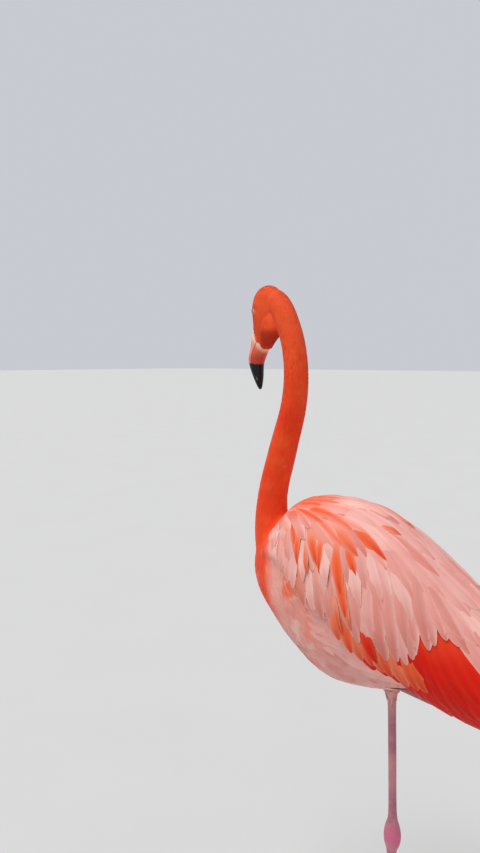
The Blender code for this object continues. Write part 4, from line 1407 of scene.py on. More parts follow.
def bill_core():
    """The whole bill before its halves are parted."""
    down, middle, deep, half = BILL.T
    rows = np.stack((down, middle + deep, middle - deep, half), -1)
    t = np.linspace(1.1, len(rows) - 1, 150)
    return tube(head_rings(rows, t, 128, 0.0, bill_shape), "bill_core")


def copied(obj, name):
    """A second object with a mesh of its own."""
    return linked(name, obj.data.copy())


def plate(outline, reach, name):
    """A closed prism across the head, from an outline of distances below the eyes and to the front."""
    down, front = np.array(outline).T
    rings = [head_point(down, front, np.full(len(down), side)) for side in (-reach, reach)]
    return tube(np.stack(rings), name)


def mouth_edge(gap):
    """The mouth's line as an outline, moved to the front by the gap."""
    return [(down, front + gap) for down, front in curve(MOUTH, np.linspace(0, len(MOUTH) - 1, 70), 2)]


def nostril(side):
    """A slit near the root of the upper bill."""
    t = np.linspace(-1, 1, 26)[:, None]
    a = np.linspace(0, 2 * math.pi, 16, endpoint=False)[None]
    reach = 0.0010 * np.sqrt(np.maximum(0.0, 1 - t**2)) + 0.00012
    down = 0.0545 + 0.0068 * t + 0 * a
    front = 0.0125 + 0.0015 * t + reach * np.cos(a)
    return tube(head_point(down, front, side * (0.0105 + 0.004 * np.sin(a) + 0 * t)), "nostril")


def bill_tint(points, lower):
    """Pale at the root, then pink or red, with a black end and a dark line along the mouth; painted shade
    darkens the lower bill.
    """
    down, front, _ = head_place(points)
    wave = 0.0022 * noise(points, 0.008, 12) + 0.0008 * noise(points, 0.002, 13)
    black_from = 0.0865 - 0.16 * (front - 0.01) + wave - (0.001 if lower else 0.0)
    black = ramp(down - black_from, -0.0012, 0.0012)
    if lower:
        # painted shade: the lower bill is orange and red, darker than the upper bill's pink and coral
        base = tinted(linear(BILL_SHADED_ORANGE), BILL_SHADED_RED, ramp(down, 0.060, 0.080))
        base = tinted(base, BILL_CREAM, 1 - ramp(down + 1.2 * front + wave, 0.044, 0.058))
    else:
        base = tinted(linear(BILL_ROOT), BILL_PINK, ramp(down + 0.55 * front + wave, 0.044, 0.057))
        base = tinted(base, BILL_CORAL, ramp(down, 0.060, 0.080) * 0.9)
    tint = tinted(base, BILL_BLACK, black)
    return tinted(tint, MOUTH_LINE, 0.55 * mouth_share(down, front) * (1 - black))


def mouth_share(down, front):
    """1 on the line of the mouth, falling off to both sides."""
    line = curve(MOUTH, np.linspace(0, len(MOUTH) - 1, 200), 2)
    return bell(front, np.interp(down, line[:, 0], line[:, 1]), 0.0011)


def lamellae():
    """Fine comb along both edges of the mouth, just inside the bill."""
    teeth = []
    rows = np.stack((BILL[:, 0], BILL[:, 3]), -1)
    spread = np.array(((-0.00022, 0), (0.00022, 0), (0, 0.0006)))
    for down, front in curve(MOUTH, np.linspace(1.15, 7.4, 88), 2):
        half = float(row_at(rows, down)[1]) - 0.0009
        for side in (1, -1):
            ring = [head_point(down + u, front - 0.0009, side * (half - v)) for u, v in spread]
            top = [head_point(down + u * 0.4, front + 0.0009, side * (half - v * 0.5)) for u, v in spread]
            teeth.append(np.stack(ring + top).reshape(6, 3))
    points = np.concatenate(teeth)
    start = 6 * np.arange(len(teeth))[:, None]
    quads = np.concatenate([start + corners for corners in ((0, 1, 4, 3), (1, 2, 5, 4), (2, 0, 3, 5))])
    ends = np.concatenate([start + corners for corners in ((0, 2, 1), (3, 4, 5))])
    comb = faced_out(mesh_object("bill_comb", points, [quads, ends]))
    paint(comb, np.tile(linear(COMB_HORN), (len(points), 1)))
    finish_piece(comb, horn)


def make_bill():
    """The upper and lower bill, parted along the mouth, with nostrils and a comb."""
    upper = bill_core()
    lower = copied(upper, "bill_lower_horn")
    upper.name = "bill_upper_horn"
    half_gap, edge = 0.00035, 0.06
    for piece, way in ((upper, 1), (lower, -1)):
        outline = mouth_edge(way * half_gap) + [(0.14, way * edge), (0.02, way * edge)]
        combine(piece, [plate(outline, edge, "mouth_side")], "INTERSECT")
    combine(upper, [nostril(side) for side in (1, -1)], "DIFFERENCE")
    for piece, node in ((upper, "bill_upper"), (lower, "bill_lower")):
        paint(piece, bill_tint(points_of(piece), piece is lower))
        finish_piece(piece, horn, (node,))
    lamellae()


def make_claws():
    """The claws of both feet as one piece."""
    pieces = [claw(*row[:4]) for row in TOES] + [folded_claw(shift) for shift in (-1, 0, 1)]
    claws = pieces[0]
    combine(claws, pieces[1:], "UNION")
    claws.name = "claws"
    paint(claws, tinted(linear(CLAW_DARK), CLAW_LIGHT, ramp(noise(points_of(claws), 0.004, 14), -0.5, 0.8)))
    finish_piece(claws, horn)


# Coat

# Degrees round from the back at which the flank's feathers start, under the wing's lower edge, along x
FLANK_X = np.linspace(-0.24, 0.25, 60)
FLANK_EDGE = (FLANK_X, np.interp(
    FLANK_X, (-0.24, -0.20, -0.175, -0.124, -0.05, -0.016, 0.03, 0.06, 0.10, 0.16, 0.24),
    (0, 20, 62, 82, 92, 101, 115, 122, 128, 134, 130)))
# Rows of feathers over the wing's lower front edge: distance below it, count
FOLD_ROWS = ((0.046, 30), (0.038, 32), (0.030, 34), (0.022, 36), (0.014, 38), (0.007, 40), (0.000, 42))
VENT_PLUMES = 1150


def on_torso(spacing):
    """Evenly spread places on the torso under the wing's edge: points, their unwrap, and x and degrees."""
    places = []
    for k, x in enumerate(np.arange(-0.2345, 0.242, spacing)):
        row = row_at(TORSO, x)
        radius = 0.5 * (row[3] + section(row)[1])
        count = max(int(2 * math.pi * radius / spacing), 3)
        degrees = (np.arange(count) + 0.5 * (k % 2)) * 360 / count - 180
        places.append(np.stack((np.full(count, x), degrees), -1))
    places = np.concatenate(places)
    places += draw.uniform(-0.3, 0.3, places.shape) * (spacing, math.degrees(spacing / 0.07))
    off_back = np.abs(places[:, 1])
    places = places[(off_back > np.interp(places[:, 0], *FLANK_EDGE)) & (off_back < 181)]
    unwrap = np.stack((along_map(places[:, 0]), places[:, 1] / 360 + 0.5), -1)
    return torso_point(places[:, 0], np.radians(places[:, 1]), 0.0), unwrap, places


def along_map(x, length=0.52):
    """A place along the body as a share of the length that its unwrap covers."""
    return (x + 0.25) / length


def flank_flow(points):
    """The coat's lie on the body, blended into the neck's at its base."""
    share = ramp(points[:, 2] - 0.9 * (points[:, 0] + 0.2), 0.70, 0.76)
    return unit(mix(body_flow(points), neck_flow(points), share))


def leg_flow(rows):
    """The coat's lie on a thigh: down along the leg."""
    line = middle_line(rows, 0, 3, 60)
    return lambda points: unit(np.gradient(line, axis=0)[squared_gaps(points, line).argmin(1)])


def leg_apart(points):
    """How far points are from the upper part of the nearer leg's middle line."""
    uppers = ((LEG_LEFT, 2.0), (SHANK_RIGHT, 3.0))
    lines = np.concatenate([middle_line(rows, 0, last, 40) for rows, last in uppers])
    return np.sqrt(squared_gaps(points, lines).min(1))


def make_body_feathers():
    """Broad soft overlapping feathers on the breast, flanks and belly."""
    roots, unwrap, places = on_torso(0.0105)
    off_legs = np.minimum(leg_apart(roots + (0.020, 0, 0)), leg_apart(roots)) > 0.026
    keep = (places[:, 0] > -0.192) & off_legs
    roots, unwrap, x = roots[keep], unwrap[keep], places[keep, 0]
    length = np.interp(x, (-0.24, -0.19, -0.12, 0.0, 0.24), (0.018, 0.026, 0.042, 0.050, 0.050))
    length = length * draw.uniform(0.88, 1.12, len(roots))
    width = np.interp(x, (-0.24, -0.18, -0.10, 0.24), (0.012, 0.017, 0.023, 0.022))
    rise = np.interp(x, (-0.24, -0.1, 0.24), (0.0030, 0.0034, 0.0032))
    beside_wing = ramp(x, -0.01, 0.03) * (1 - ramp(np.abs(places[keep, 1]), 142, 160))
    rise, length = rise * (1 - 0.55 * beside_wing), length * (1 - 0.4 * beside_wing)
    front = x < -0.08
    for part, name in ((front, "coat_breast"), (~front, "coat_flank")):
        draped(name, "body", roots[part], flank_flow, length[part], width[part], rise[part], body_tint,
               unwrap[part])


def make_down():
    """Finer plumes among the feathers of the breast and belly."""
    roots, unwrap, places = on_torso(0.0080)
    keep = (places[:, 0] > -0.17) & (places[:, 0] < 0.02 + 0.4 * ramp(np.abs(places[:, 1]), 150, 170))
    roots, unwrap = roots[keep], unwrap[keep]
    length = draw.uniform(0.018, 0.032, len(roots)) * (0.5 + 0.5 * ramp(leg_apart(roots), 0.02, 0.05))
    draped("coat_down", "down", roots, flank_flow, length, length * 0.20, 0.0033, body_tint, unwrap)


def make_front():
    """Plumes on the breast's front, also where the torso's first section closes it."""
    roots, unwrap, places = on_torso(0.0042)
    keep = places[:, 0] + draw.uniform(-0.012, 0.012, len(roots)) < -0.155
    x, high, low, half = TORSO[0]
    spacing = 0.0036
    across, upward = np.arange(-half, half, spacing), np.arange(low, high, spacing)
    grid = np.stack(np.meshgrid(across, upward), -1).reshape(-1, 2)
    grid += draw.uniform(-0.0012, 0.0012, grid.shape)
    near = (grid[:, 0] / half) ** 2 + ((grid[:, 1] - (low + high) / 2) / (high - low) * 2) ** 2 < 1.2
    cap = np.insert(grid[near], 0, x, axis=1)
    roots = np.concatenate((roots[keep], cap))
    unwrap = np.concatenate((unwrap[keep], np.stack((0.01 + 0 * cap[:, 0], 0.5 + cap[:, 1] * 3), -1)))
    length = draw.uniform(0.017, 0.025, len(roots))
    draped("coat_front", "front", roots, flank_flow, length, length * 0.30, 0.0030, body_tint, unwrap)


def make_leg_roots():
    """Small tufts where the legs leave the body."""
    roots, unwrap, _ = on_torso(0.0036)
    keep = np.minimum(leg_apart(roots), leg_apart(roots + (0.014, 0, 0))) < 0.032
    roots, unwrap = roots[keep], unwrap[keep]
    length = draw.uniform(0.012, 0.018, len(roots))
    draped("coat_leg_roots", "leg_roots", roots, flank_flow, length, length * 0.26, 0.0026, body_tint, unwrap)


def fold_row(row, below, count, side):
    """One row of fold feathers: roots, directions, unwrap and how high in the fold the row is."""
    t = ((np.arange(count) + 0.5 * (row % 2)) / count) ** 1.25 * (len(FOLD) - 1.3)
    t = t + draw.uniform(-0.10, 0.10, count)
    here, there = curve(FOLD, t), curve(FOLD, t + 0.05)
    x = here[:, 0]
    down = np.degrees(below * (0.45 + 0.55 * ramp(x, -0.18, -0.12)) / wing_radius(x))
    places = ((x, here[:, 1] + down), (there[:, 0], there[:, 1] + down), (x, here[:, 1] + down - 4))
    start, finish, above = (wing_point(at - 0.004, degrees, 0 * t, side) for at, degrees in places)
    lean = 0.12 + 0.62 * (1 - ramp(x, -0.15, -0.07)) + 0.03 * row
    ahead = unit(unit(finish - start) + lean[:, None] * unit(above - start))
    unwrap = np.stack((along_map(x), here[:, 1] / 360 + 0.02 * row), -1)
    return start, ahead, unwrap, np.full(count, row / (len(FOLD_ROWS) - 1))


# Lower front edge of the folded wing that the flank's feathers lap over: x, degrees round from the back
FOLD = np.array(((-0.192, 42), (-0.176, 58), (-0.150, 72), (-0.124, 82), (-0.088, 92), (-0.050, 97),
                 (-0.020, 104), (0.010, 111), (0.030, 118)), float)


def make_fold():
    """Rows of flank feathers whose pale round tips lap over the wing's lower front edge."""
    for side, name in SIDES:
        rows = [fold_row(row, below, count, side) for row, (below, count) in enumerate(FOLD_ROWS)]
        roots, ahead, unwrap, share = (np.concatenate(part) for part in zip(*rows))
        behind = roots[:, 0] > -0.178
        roots, ahead, unwrap, share = (part[behind] for part in (roots, ahead, unwrap, share))
        x, sizes_at = roots[:, 0], (-0.19, -0.14, -0.06, 0.03)
        length = np.interp(x, sizes_at, (0.024, 0.038, 0.052, 0.056))
        length = length * draw.uniform(0.85, 1.15, len(roots)) * (1 - 0.25 * share)
        width = np.interp(x, sizes_at, (0.009, 0.014, 0.017, 0.017))
        width = width * draw.uniform(0.85, 1.15, len(roots)) * (1 - 0.2 * share)
        rise = between(0.0046, 0.0096, share) * (1 - 0.45 * ramp(x, -0.03, 0.02))
        rise = rise * (0.25 + 0.75 * ramp(x, -0.15, -0.07))

        def flow(points):
            return ahead[squared_gaps(points, roots).argmin(1)]

        draped(f"coat_fold_{name}", "fold", roots, flow, length, width, rise, fold_tint, unwrap)


def make_shoulders():
    """Soft feathers that fill the space under the front edges of the wings."""
    roots, unwrap = [], []
    for x in np.arange(-0.192, -0.01, 0.0058):
        edge = np.interp(x, *FOLD.T)
        step = math.degrees(0.0052 / wing_radius(x))
        for degrees in np.arange(max(edge - 34, 6), edge + 12, step):
            for side in (1, -1):
                at = x + draw.uniform(-0.0015, 0.0015)
                roots.append(wing_point(at, degrees + draw.uniform(-0.4, 0.4) * step, 0.0, side))
                unwrap.append((along_map(x), 0.5 + side * degrees / 360))
    roots, unwrap = np.array(roots), np.array(unwrap)
    length = draw.uniform(0.026, 0.036, len(roots))
    rise = draw.uniform(0.0020, 0.0026, len(roots))
    draped("coat_shoulders", "shoulders", roots, flank_flow, length, length * 0.28, rise, fold_tint, unwrap)


def fold_tint(line):
    """The body's colour, turned paler behind the breast."""
    return tinted(body_tint(line), FOLD_PINK, 0.6 * (1 - ramp(-line[..., 0], 0.168, 0.188)))


def on_neck(spacing_along, spacing_round, first, last):
    """Evenly spread places round the neck, and their unwrap."""
    t = even_steps(NECK, first, last, spacing_along)
    s = along_line(NECK, t)
    places, unwrap = [], []
    for k, (at, far) in enumerate(zip(t, s)):
        radius = curve(NECK, at, 3)[3]
        count = int(2 * math.pi * radius / spacing_round)
        angle = 2 * math.pi * (np.arange(count) + 0.5 * (k % 2) + draw.uniform(-0.3, 0.3, count)) / count
        at_each = at + draw.uniform(-0.35, 0.35, count) * (t[1] - t[0])
        here = curve(NECK, at_each, 3)
        across, up = line_frame(line_heading(NECK, at_each))
        turned = np.cos(angle)[:, None] * up + np.sin(angle)[:, None] * across
        places.append(here[:, :3] + here[:, 3:4] * turned)
        unwrap.append(np.stack((far / s[-1] * 0.98 + 0.01 + 0 * angle, (angle / (2 * math.pi)) % 1.0), -1))
    return np.concatenate(places), np.concatenate(unwrap)


def make_neck_coat():
    """Short hair-like feathers round the neck, finer towards the head."""
    roots, unwrap = on_neck(0.0026, 0.0020, 1.0, 9.8)
    outside = ~inside_torso(roots) & ~inside_rows(SKULL, roots, 0.003) & ~inside_rows(THROAT, roots, 0.003)
    roots, unwrap = roots[outside], unwrap[outside]
    up = ramp(roots[:, 2], 0.74, 1.06)
    length = between(0.0165, 0.0092, up) * draw.uniform(0.8, 1.2, len(roots))
    width = between(0.0034, 0.0019, up) * draw.uniform(0.8, 1.2, len(roots))
    near = 1 - ramp(np.linalg.norm(roots - EYE_MIDDLE, axis=1), 0.055, 0.14)
    length, width = length * (1 - 0.32 * near), width * (1 - 0.15 * near)
    rise = between(0.0027, 0.0021, up) * (1 - 0.35 * near)
    low = roots[:, 2] < 0.86
    for part, name in ((low, "coat_neck_low"), (~low, "coat_neck_high")):
        draped(name, "neck", roots[part], neck_coat_flow, length[part], width[part], rise[part], body_tint,
               unwrap[part])


def neck_coat_flow(points):
    """The coat's lie on the neck, blended into the body's at its base."""
    share = 1 - ramp(points[:, 2] - 0.9 * (points[:, 0] + 0.2), 0.69, 0.74)
    return unit(mix(neck_flow(points), body_flow(points), share))


def inside_torso(points):
    """True well inside the torso's sections."""
    return (torso_share(points) < 0.9) & (points[:, 0] > TORSO[0, 0])


def ringed(rows, first, last, spacing):
    """Evenly spread places on the head's surface that rows give."""
    places = []
    for down in np.arange(first, last, spacing):
        row = row_at(rows, down)
        radius = 0.5 * (section(row)[1] + row[3])
        count = max(int(2 * math.pi * radius / spacing), 6)
        angle = 2 * math.pi * (np.arange(count) + draw.uniform(-0.5, 0.5, count)) / count
        places.append(np.stack((down + draw.uniform(-0.4, 0.4, count) * spacing, angle), -1))
    down, angle = np.concatenate(places).T
    row = row_at(rows, down)
    middle, reach = section(row)
    return head_point(down, middle + reach * np.cos(angle), row[:, 3] * np.sin(angle))


def inside_rows(rows, points, margin):
    """True for a point that is inside the form that rows give in the head frame."""
    down, front, side = head_place(points)
    row = row_at(rows, down)
    middle, reach = section(row)
    inside = ((front - middle) / np.maximum(reach - margin, 1e-4)) ** 2
    inside = inside + (side / np.maximum(row[:, 3] - margin, 1e-4)) ** 2 < 1
    return inside & (down > rows[0, 0]) & (down < rows[-1, 0])


def make_head_coat():
    """Velvet of very small feathers, from the bill's root back over the head and down the throat."""
    on_skull, on_throat = ringed(SKULL, -0.0392, 0.0520, 0.00135), ringed(THROAT, 0.002, 0.0628, 0.00135)
    roots = np.concatenate((on_skull[~inside_rows(THROAT, on_skull, 0.001)],
                            on_throat[~inside_rows(SKULL, on_throat, 0.001)]))
    down, front, side = head_place(roots)
    behind_edge = front < np.interp(down, *FACE_EDGE.T) + 0.03 * (down < 0)
    keep = (face_share(roots) < 0.5) & ~in_neck(roots) & behind_edge
    roots, down, front, side = (part[keep] for part in (roots, down, front, side))
    round_it = np.arctan2(side, front + 0.014) / (2 * math.pi) + 0.5
    unwrap = np.stack(((down + 0.038) / 0.105, round_it), -1)
    from_face = np.linalg.norm(roots - head_point(0.03, 0.004, 0.0), axis=1)
    away = ramp(from_face, 0.016, 0.055)
    length = between(0.0034, 0.0068, away) * draw.uniform(0.8, 1.2, len(roots))
    rise = between(0.0010, 0.0019, away)
    draped("coat_head", "head", roots, head_flow, length, length * 0.28, rise, body_tint, unwrap)


def in_neck(points):
    """True well inside the neck's own form."""
    line = curve(NECK, np.linspace(0, len(NECK) - 1, 200), 3)
    apart = np.linalg.norm(points[:, None] - line[None, :, :3], axis=2)
    return (apart < line[None, :, 3] - 0.003).any(1)


def make_thigh_coat():
    """Short close tufts down the feathered part of each leg."""
    sides, stray = 22, 0.001
    legs = []
    for rows, first, last, name in ((LEG_LEFT, 0.3, 2.3, "left"), (SHANK_RIGHT, 0.2, 3.3, "right")):
        t = even_steps(rows, first, last, 0.0034)
        roots = line_rings(rows, t, 0.0, sides).reshape(-1, 3)
        roots = roots + draw.uniform(-stray, stray, (len(t) * sides, 3))
        turned = np.tile(np.arange(sides) / sides, len(t))
        legs.append((name, rows, roots, np.stack((np.repeat(t, sides) / 4, turned), -1)))
    for name, rows, roots, unwrap in legs:
        length = draw.uniform(0.007, 0.017, len(roots))
        draped(f"coat_thigh_{name}", "thigh", roots, leg_flow(rows), length, length * 0.17, 0.0009, body_tint,
               unwrap)


def inner_share(points):
    """0 on the body and 1 on the inner side of a wing, under it."""
    return ramp(torso_share(points), 1.15, 1.6) * ramp(0.575 - points[..., 2], 0.0, 0.02)


def inner_flow(points):
    """The coat's lie under the rump, and back and down on the wings' inner sides."""
    return unit(mix(flank_flow(points), np.array((0.80, 0.0, -0.60)), inner_share(points)))


def inner_tint(line):
    """The body's colour, and red on the wings' inner sides."""
    return tinted(body_tint(line), UNDERWING, inner_share(line))


def make_vent():
    """Feathers on the rump's underside, under the tail and on the inner sides of the wings."""
    corners = skin_drape.points[skin_drape.faces]
    middle = corners.mean(1)
    facing = np.cross(corners[:, 1] - corners[:, 0], corners[:, 2] - corners[:, 0])
    area = np.linalg.norm(facing, axis=1) + TINY
    facing = facing / area[:, None]
    inward = -facing[:, 1] * np.sign(middle[:, 1])
    under = np.maximum(inward, -facing[:, 2]) > 0.3
    place = (middle[:, 0] > 0.015) & (middle[:, 0] < 0.33) & (middle[:, 2] < 0.60)
    chosen = np.flatnonzero(under & place & (leg_apart(middle) > 0.017))
    chosen = draw.choice(chosen, VENT_PLUMES, p=area[chosen] / area[chosen].sum())
    spot = draw.dirichlet((1, 1, 1), len(chosen))
    roots = (corners[chosen] * spot[..., None]).sum(1)
    round_it = 0.5 + roots[:, 1] * 3 + (roots[:, 2] - 0.55) * 2
    unwrap = np.stack((along_map(roots[:, 0], 0.62), round_it), -1)
    length = draw.uniform(0.022, 0.032, len(roots))
    draped("coat_vent", "vent", roots, inner_flow, length, length * 0.38, 0.0024, inner_tint, unwrap)


# Wings

# Long vanes: camber as a share of the half width, raggedness, share of notched rings, roll, drop of the tip
VANE_CAMBER = 0.17
VANE_FRAY = 0.012
VANE_NOTCHES = 0.012
VANE_ROLL = 0.012
VANE_DIP = 0.0020
FIELD_TRIES = 5200


def wing_lines(rows, t):
    """The feathers' middle lines on the folded wing: x, degrees and heading at each t."""
    x0, deg0, turn, length, bend = (rows[:, k] for k in (0, 1, 2, 3, 8))
    fine = np.linspace(0, 1, 120)
    heading = np.radians(turn[:, None] + bend[:, None] * (1 - fine[None]))
    step = length[:, None] / (len(fine) - 1)
    run, drop = (np.cumsum((way(heading) * step)[:, ::-1], 1)[:, ::-1] for way in (np.cos, np.sin))
    x, arc, head = (np.stack([np.interp(t, fine, line) for line in lines])
                    for lines in (x0[:, None] - run, drop, heading))
    return x, deg0[:, None] - np.degrees(arc / wing_radius(x)), head


def vanes_over(name, side, rows, nodes):
    """Feathers laid over the folded wing. Each row: tip x, degrees, turn, length, width, lift,
    root lift, bluntness, bend, and the colours' number. A tip's turn is its slope below level."""
    shape = flight
    count, rings = len(rows), len(shape.along)
    x0, deg0, _, length, width, lift, sunk, blunt, _, kind = rows.T
    t = np.append(shape.along, 1.0)
    x, degrees, head = wing_lines(rows, t)
    t, x_in, degrees_in, head_in = (part[:, :rings, None] for part in (t[None], x, degrees, head))
    pointed = np.interp(shape.along, (0, 0.45, 0.75, 1.0), (1.0, 0.95, 0.62, 0.10))[None]
    wide = shape.wide[None] * (blunt[:, None] + (1 - blunt[:, None]) * pointed)
    half = width[:, None] / 2 * wide * draw.uniform(1 - VANE_FRAY, 1 + VANE_FRAY, (count, rings))
    across, under = vane_parts(shape)
    cut = draw.uniform(0, 1, (count, rings, 2)) < VANE_NOTCHES
    depth = 1 - 0.35 * cut * draw.uniform(0.3, 1, (count, rings, 2))
    edge = np.where(across < 0, depth[..., 0:1], depth[..., 1:2])
    edge = np.where(np.abs(across) > 0.8, edge, 1.0) * (1 - under)
    shift = half[..., None] * across * edge
    up = sunk[:, None, None] + (lift - sunk)[:, None, None] * t**0.8
    up = up + 0.0004 * (1 - under) + 0.00025 * bell(across, 0, 0.08) * (1 - under)
    up = up - VANE_CAMBER * half[..., None] * across**2
    up = up + VANE_ROLL * shift - VANE_DIP * ramp(t, 0.68, 1.0) ** 1.6
    ripple = 0.00012 * np.sin(34 * t + 5 * across + draw.uniform(0, 6, (count, 1, 1)))
    up = up + ripple * (np.abs(across) > 0.5) * (1 - under)
    sine, cosine = np.sin(head_in), np.cos(head_in)
    slip = 0.05 * half[..., None] * draw.uniform(-1, 1, (count, rings, shape.ring)) * (np.abs(across) > 0.8)
    at_x = x_in - shift * sine + slip * cosine
    at_deg = degrees_in + np.degrees((shift * cosine + slip * sine) / wing_radius(at_x))
    tip = wing_point(x[:, -1], degrees[:, -1], lift - VANE_DIP, side)
    body = with_tip(wing_point(at_x, at_deg, up, side), tip)
    shoulder = ramp(-x0, 0.0, 0.07) * ramp(deg0, 28, 48)
    share = np.stack((orange_at(x0, deg0) * draw.uniform(0.7, 1.2, count),
                      shoulder * draw.uniform(-0.25, 0.9, count), draw.normal(0, 0.3, count)), -1)
    share = np.clip(share, -1, 1)[:, None, None]
    tint = wing_colour(kind.astype(int), share, t + 0 * at_x, across + 0 * at_x, at_x, at_deg)
    tint = np.clip(tint * draw.uniform(0.95, 1.05, (count, 1, 1, 1)), 0, 1)
    place, patch = ranked_cells(x0, deg0)
    vane, bake = vane_maps(shape, length, half, place, patch)
    tint = with_tip(tint, tint[:, -1, len(shape.across) // 2])
    coat_object(name, shape, body, tint, vane, bake, satin, None, nodes)


def ranked_cells(along, round_it):
    """A place for each vane on the unwrap, in the order of their own places, so that none overlap."""
    count = len(along)
    columns = int(math.ceil(math.sqrt(count)))
    order = np.argsort(along, kind="stable")
    place = np.zeros((count, 2))
    for k in range(columns):
        part = order[k * columns:(k + 1) * columns]
        part = part[np.argsort(round_it[part], kind="stable")]
        place[part, 0] = (k + 0.5) / columns
        place[part, 1] = (np.arange(len(part)) + 0.5) / columns
    return place, 0.8 / columns


# Kinds of wing feather: colour near the root, at the middle, at the tip, along the edge
KINDS = (
    (PALE, PALE, PINK, WHITE),  # 0 pink, whose colour comes from its place
    ((240, 148, 120), (236, 92, 46), (226, 62, 20), (240, 144, 114)),  # 1 orange
    ((230, 60, 28), (218, 26, 5), (210, 18, 3), (230, 66, 34)),  # 2 bright red
    (BLACK, BLACK, BLACK, (24, 18, 20)),  # 3 black
    ((238, 178, 166), (240, 184, 174), (230, 156, 142), (243, 192, 180)),  # 4 whitish
    ((238, 156, 134), (234, 116, 80), (226, 88, 52), (240, 158, 134)),  # 5 salmon to orange
)
KIND_TABLE = np.array([[linear(colour) for colour in kind] for kind in KINDS])

# Streaks of orange over the folded wing: from and to as x and degrees, then their half width
STREAKS = (
    ((-0.165, 6), (-0.060, 8), 0.013),
    ((-0.155, 22), (-0.055, 20), 0.013),
    ((-0.130, 42), (-0.060, 38), 0.012),
    ((-0.046, 37), (-0.018, 80), 0.007),
    ((-0.018, 80), (-0.004, 95), 0.005),
    ((-0.060, 30), (0.030, 43), 0.009),
    ((-0.077, 34), (-0.011, 52), 0.009),
    ((-0.024, 50), (-0.002, 63), 0.005),
    ((-0.111, 55), (-0.103, 66), 0.004),
    ((-0.089, 50), (-0.065, 65), 0.005),
    ((0.008, 19), (0.034, 16), 0.005),
)


def orange_at(x, degrees):
    """How much of the wing's colour is orange at a place."""
    arc = np.radians(degrees) * wing_radius(x)
    most = np.zeros(np.shape(x))
    for start, end, wide in STREAKS:
        start, end = (np.array((at, math.radians(round_it) * wing_radius(at)))
                      for at, round_it in (start, end))
        span = end - start
        t = np.clip(((x - start[0]) * span[0] + (arc - start[1]) * span[1]) / (span @ span), 0, 1)
        apart = np.hypot(x - start[0] - t * span[0], arc - start[1] - t * span[1])
        most = np.maximum(most, bell(apart, 0, wide))
    return most


def wing_pink(share, t, across, x, degrees):
    """The pink of the upper wing: darker and plainer downwards by painted shade, with pale edges, a painted
    highlight along each vane's upper edge, and orange streaks.
    """
    spots = noise(np.stack((x, degrees * 0.0014, 0 * x), -1), 0.030, 21)
    low = ramp(degrees + 9 * spots + 26 * ramp(x, 0.1, 0.25), 30, 108)
    streak, shoulder, tone = (share[..., k] for k in range(3))
    middle = bell(across, 0, 0.45)
    pink = linear(WING_PINK)
    for colour, amount in (
        # painted shade: the wing turns a deeper pink downwards, towards its shaded lower part
        (WING_LOW_SHADE, low),
        (WING_PALE, np.clip(tone, 0, 1)),
        (WING_DEEP, np.clip(-tone, 0, 1)),
        (SHOULDER_ORANGE, 0.7 * bell(x, -0.115, 0.05) * (1 - ramp(degrees, 16, 36))),
        (SHOULDER_PALE, 0.6 * ramp(-x, 0.0, 0.06) * ramp(degrees, 30, 46) * (1 - low)),
        (VANE_TIP, ramp(t, 0.70, 1.0) * 0.28),
        # pale rim on both edges, and a painted highlight that makes each vane's upper edge paler
        (VANE_RIM_AND_HIGHLIGHT, 0.35 * np.abs(across) ** 5 + 0.30 * ramp(-across, 0.2, 0.9)),
        (STREAK, np.clip(streak, 0, 1) * (0.35 + 0.65 * middle) * ramp(t, 0.15, 0.5)),
        (STREAK_EDGE, np.clip(shoulder, 0, 1) * ramp(across, -0.1, 0.8) * ramp(t, 0.1, 0.5)),
    ):
        pink = tinted(pink, colour, amount)
    return pink


def wing_colour(kind, share, t, across, x, degrees):
    """Colours along and across each feather; share is how orange, streaked and pale a pink one is."""
    root, middle, tip, edge = np.moveaxis(KIND_TABLE[kind][:, None, None], -2, 0)
    own = mix(root, middle, ramp(t, 0.22, 0.62))
    own = mix(own, tip, ramp(t, 0.60, 0.97))
    own = mix(own, edge, 0.75 * np.abs(across) ** 2.4)
    tint = np.where((kind == 0)[:, None, None, None], wing_pink(share, t, across, x, degrees), own)
    return tint * (1 - 0.07 * bell(across, 0, 0.04))[..., None]


def tier(rows, count, lift, sunk, blunt, bend, kind, jitter=1.0, widen=1.0):
    """Rows for a tier of feathers, from a few rows of tip x, degrees, turn, length and width."""
    rows = np.array(rows, float)
    place = curve(rows, np.linspace(0, len(rows) - 1, count))
    for column, spread in enumerate((0.0025, 1.3, 2.0)):
        place[:, column] += draw.normal(0, spread, count) * jitter
    place[:, 3] *= draw.uniform(0.94, 1.06, count)
    place[:, 4] *= widen * draw.uniform(0.93, 1.07, count)
    kinds = draw.choice(kind, count)
    lifts = lift + draw.uniform(-0.0002, 0.0002, count) * jitter
    extra = np.stack((lifts, *(np.full(count, value) for value in (sunk, blunt, bend)), kinds), -1)
    return np.concatenate((place, extra), 1)


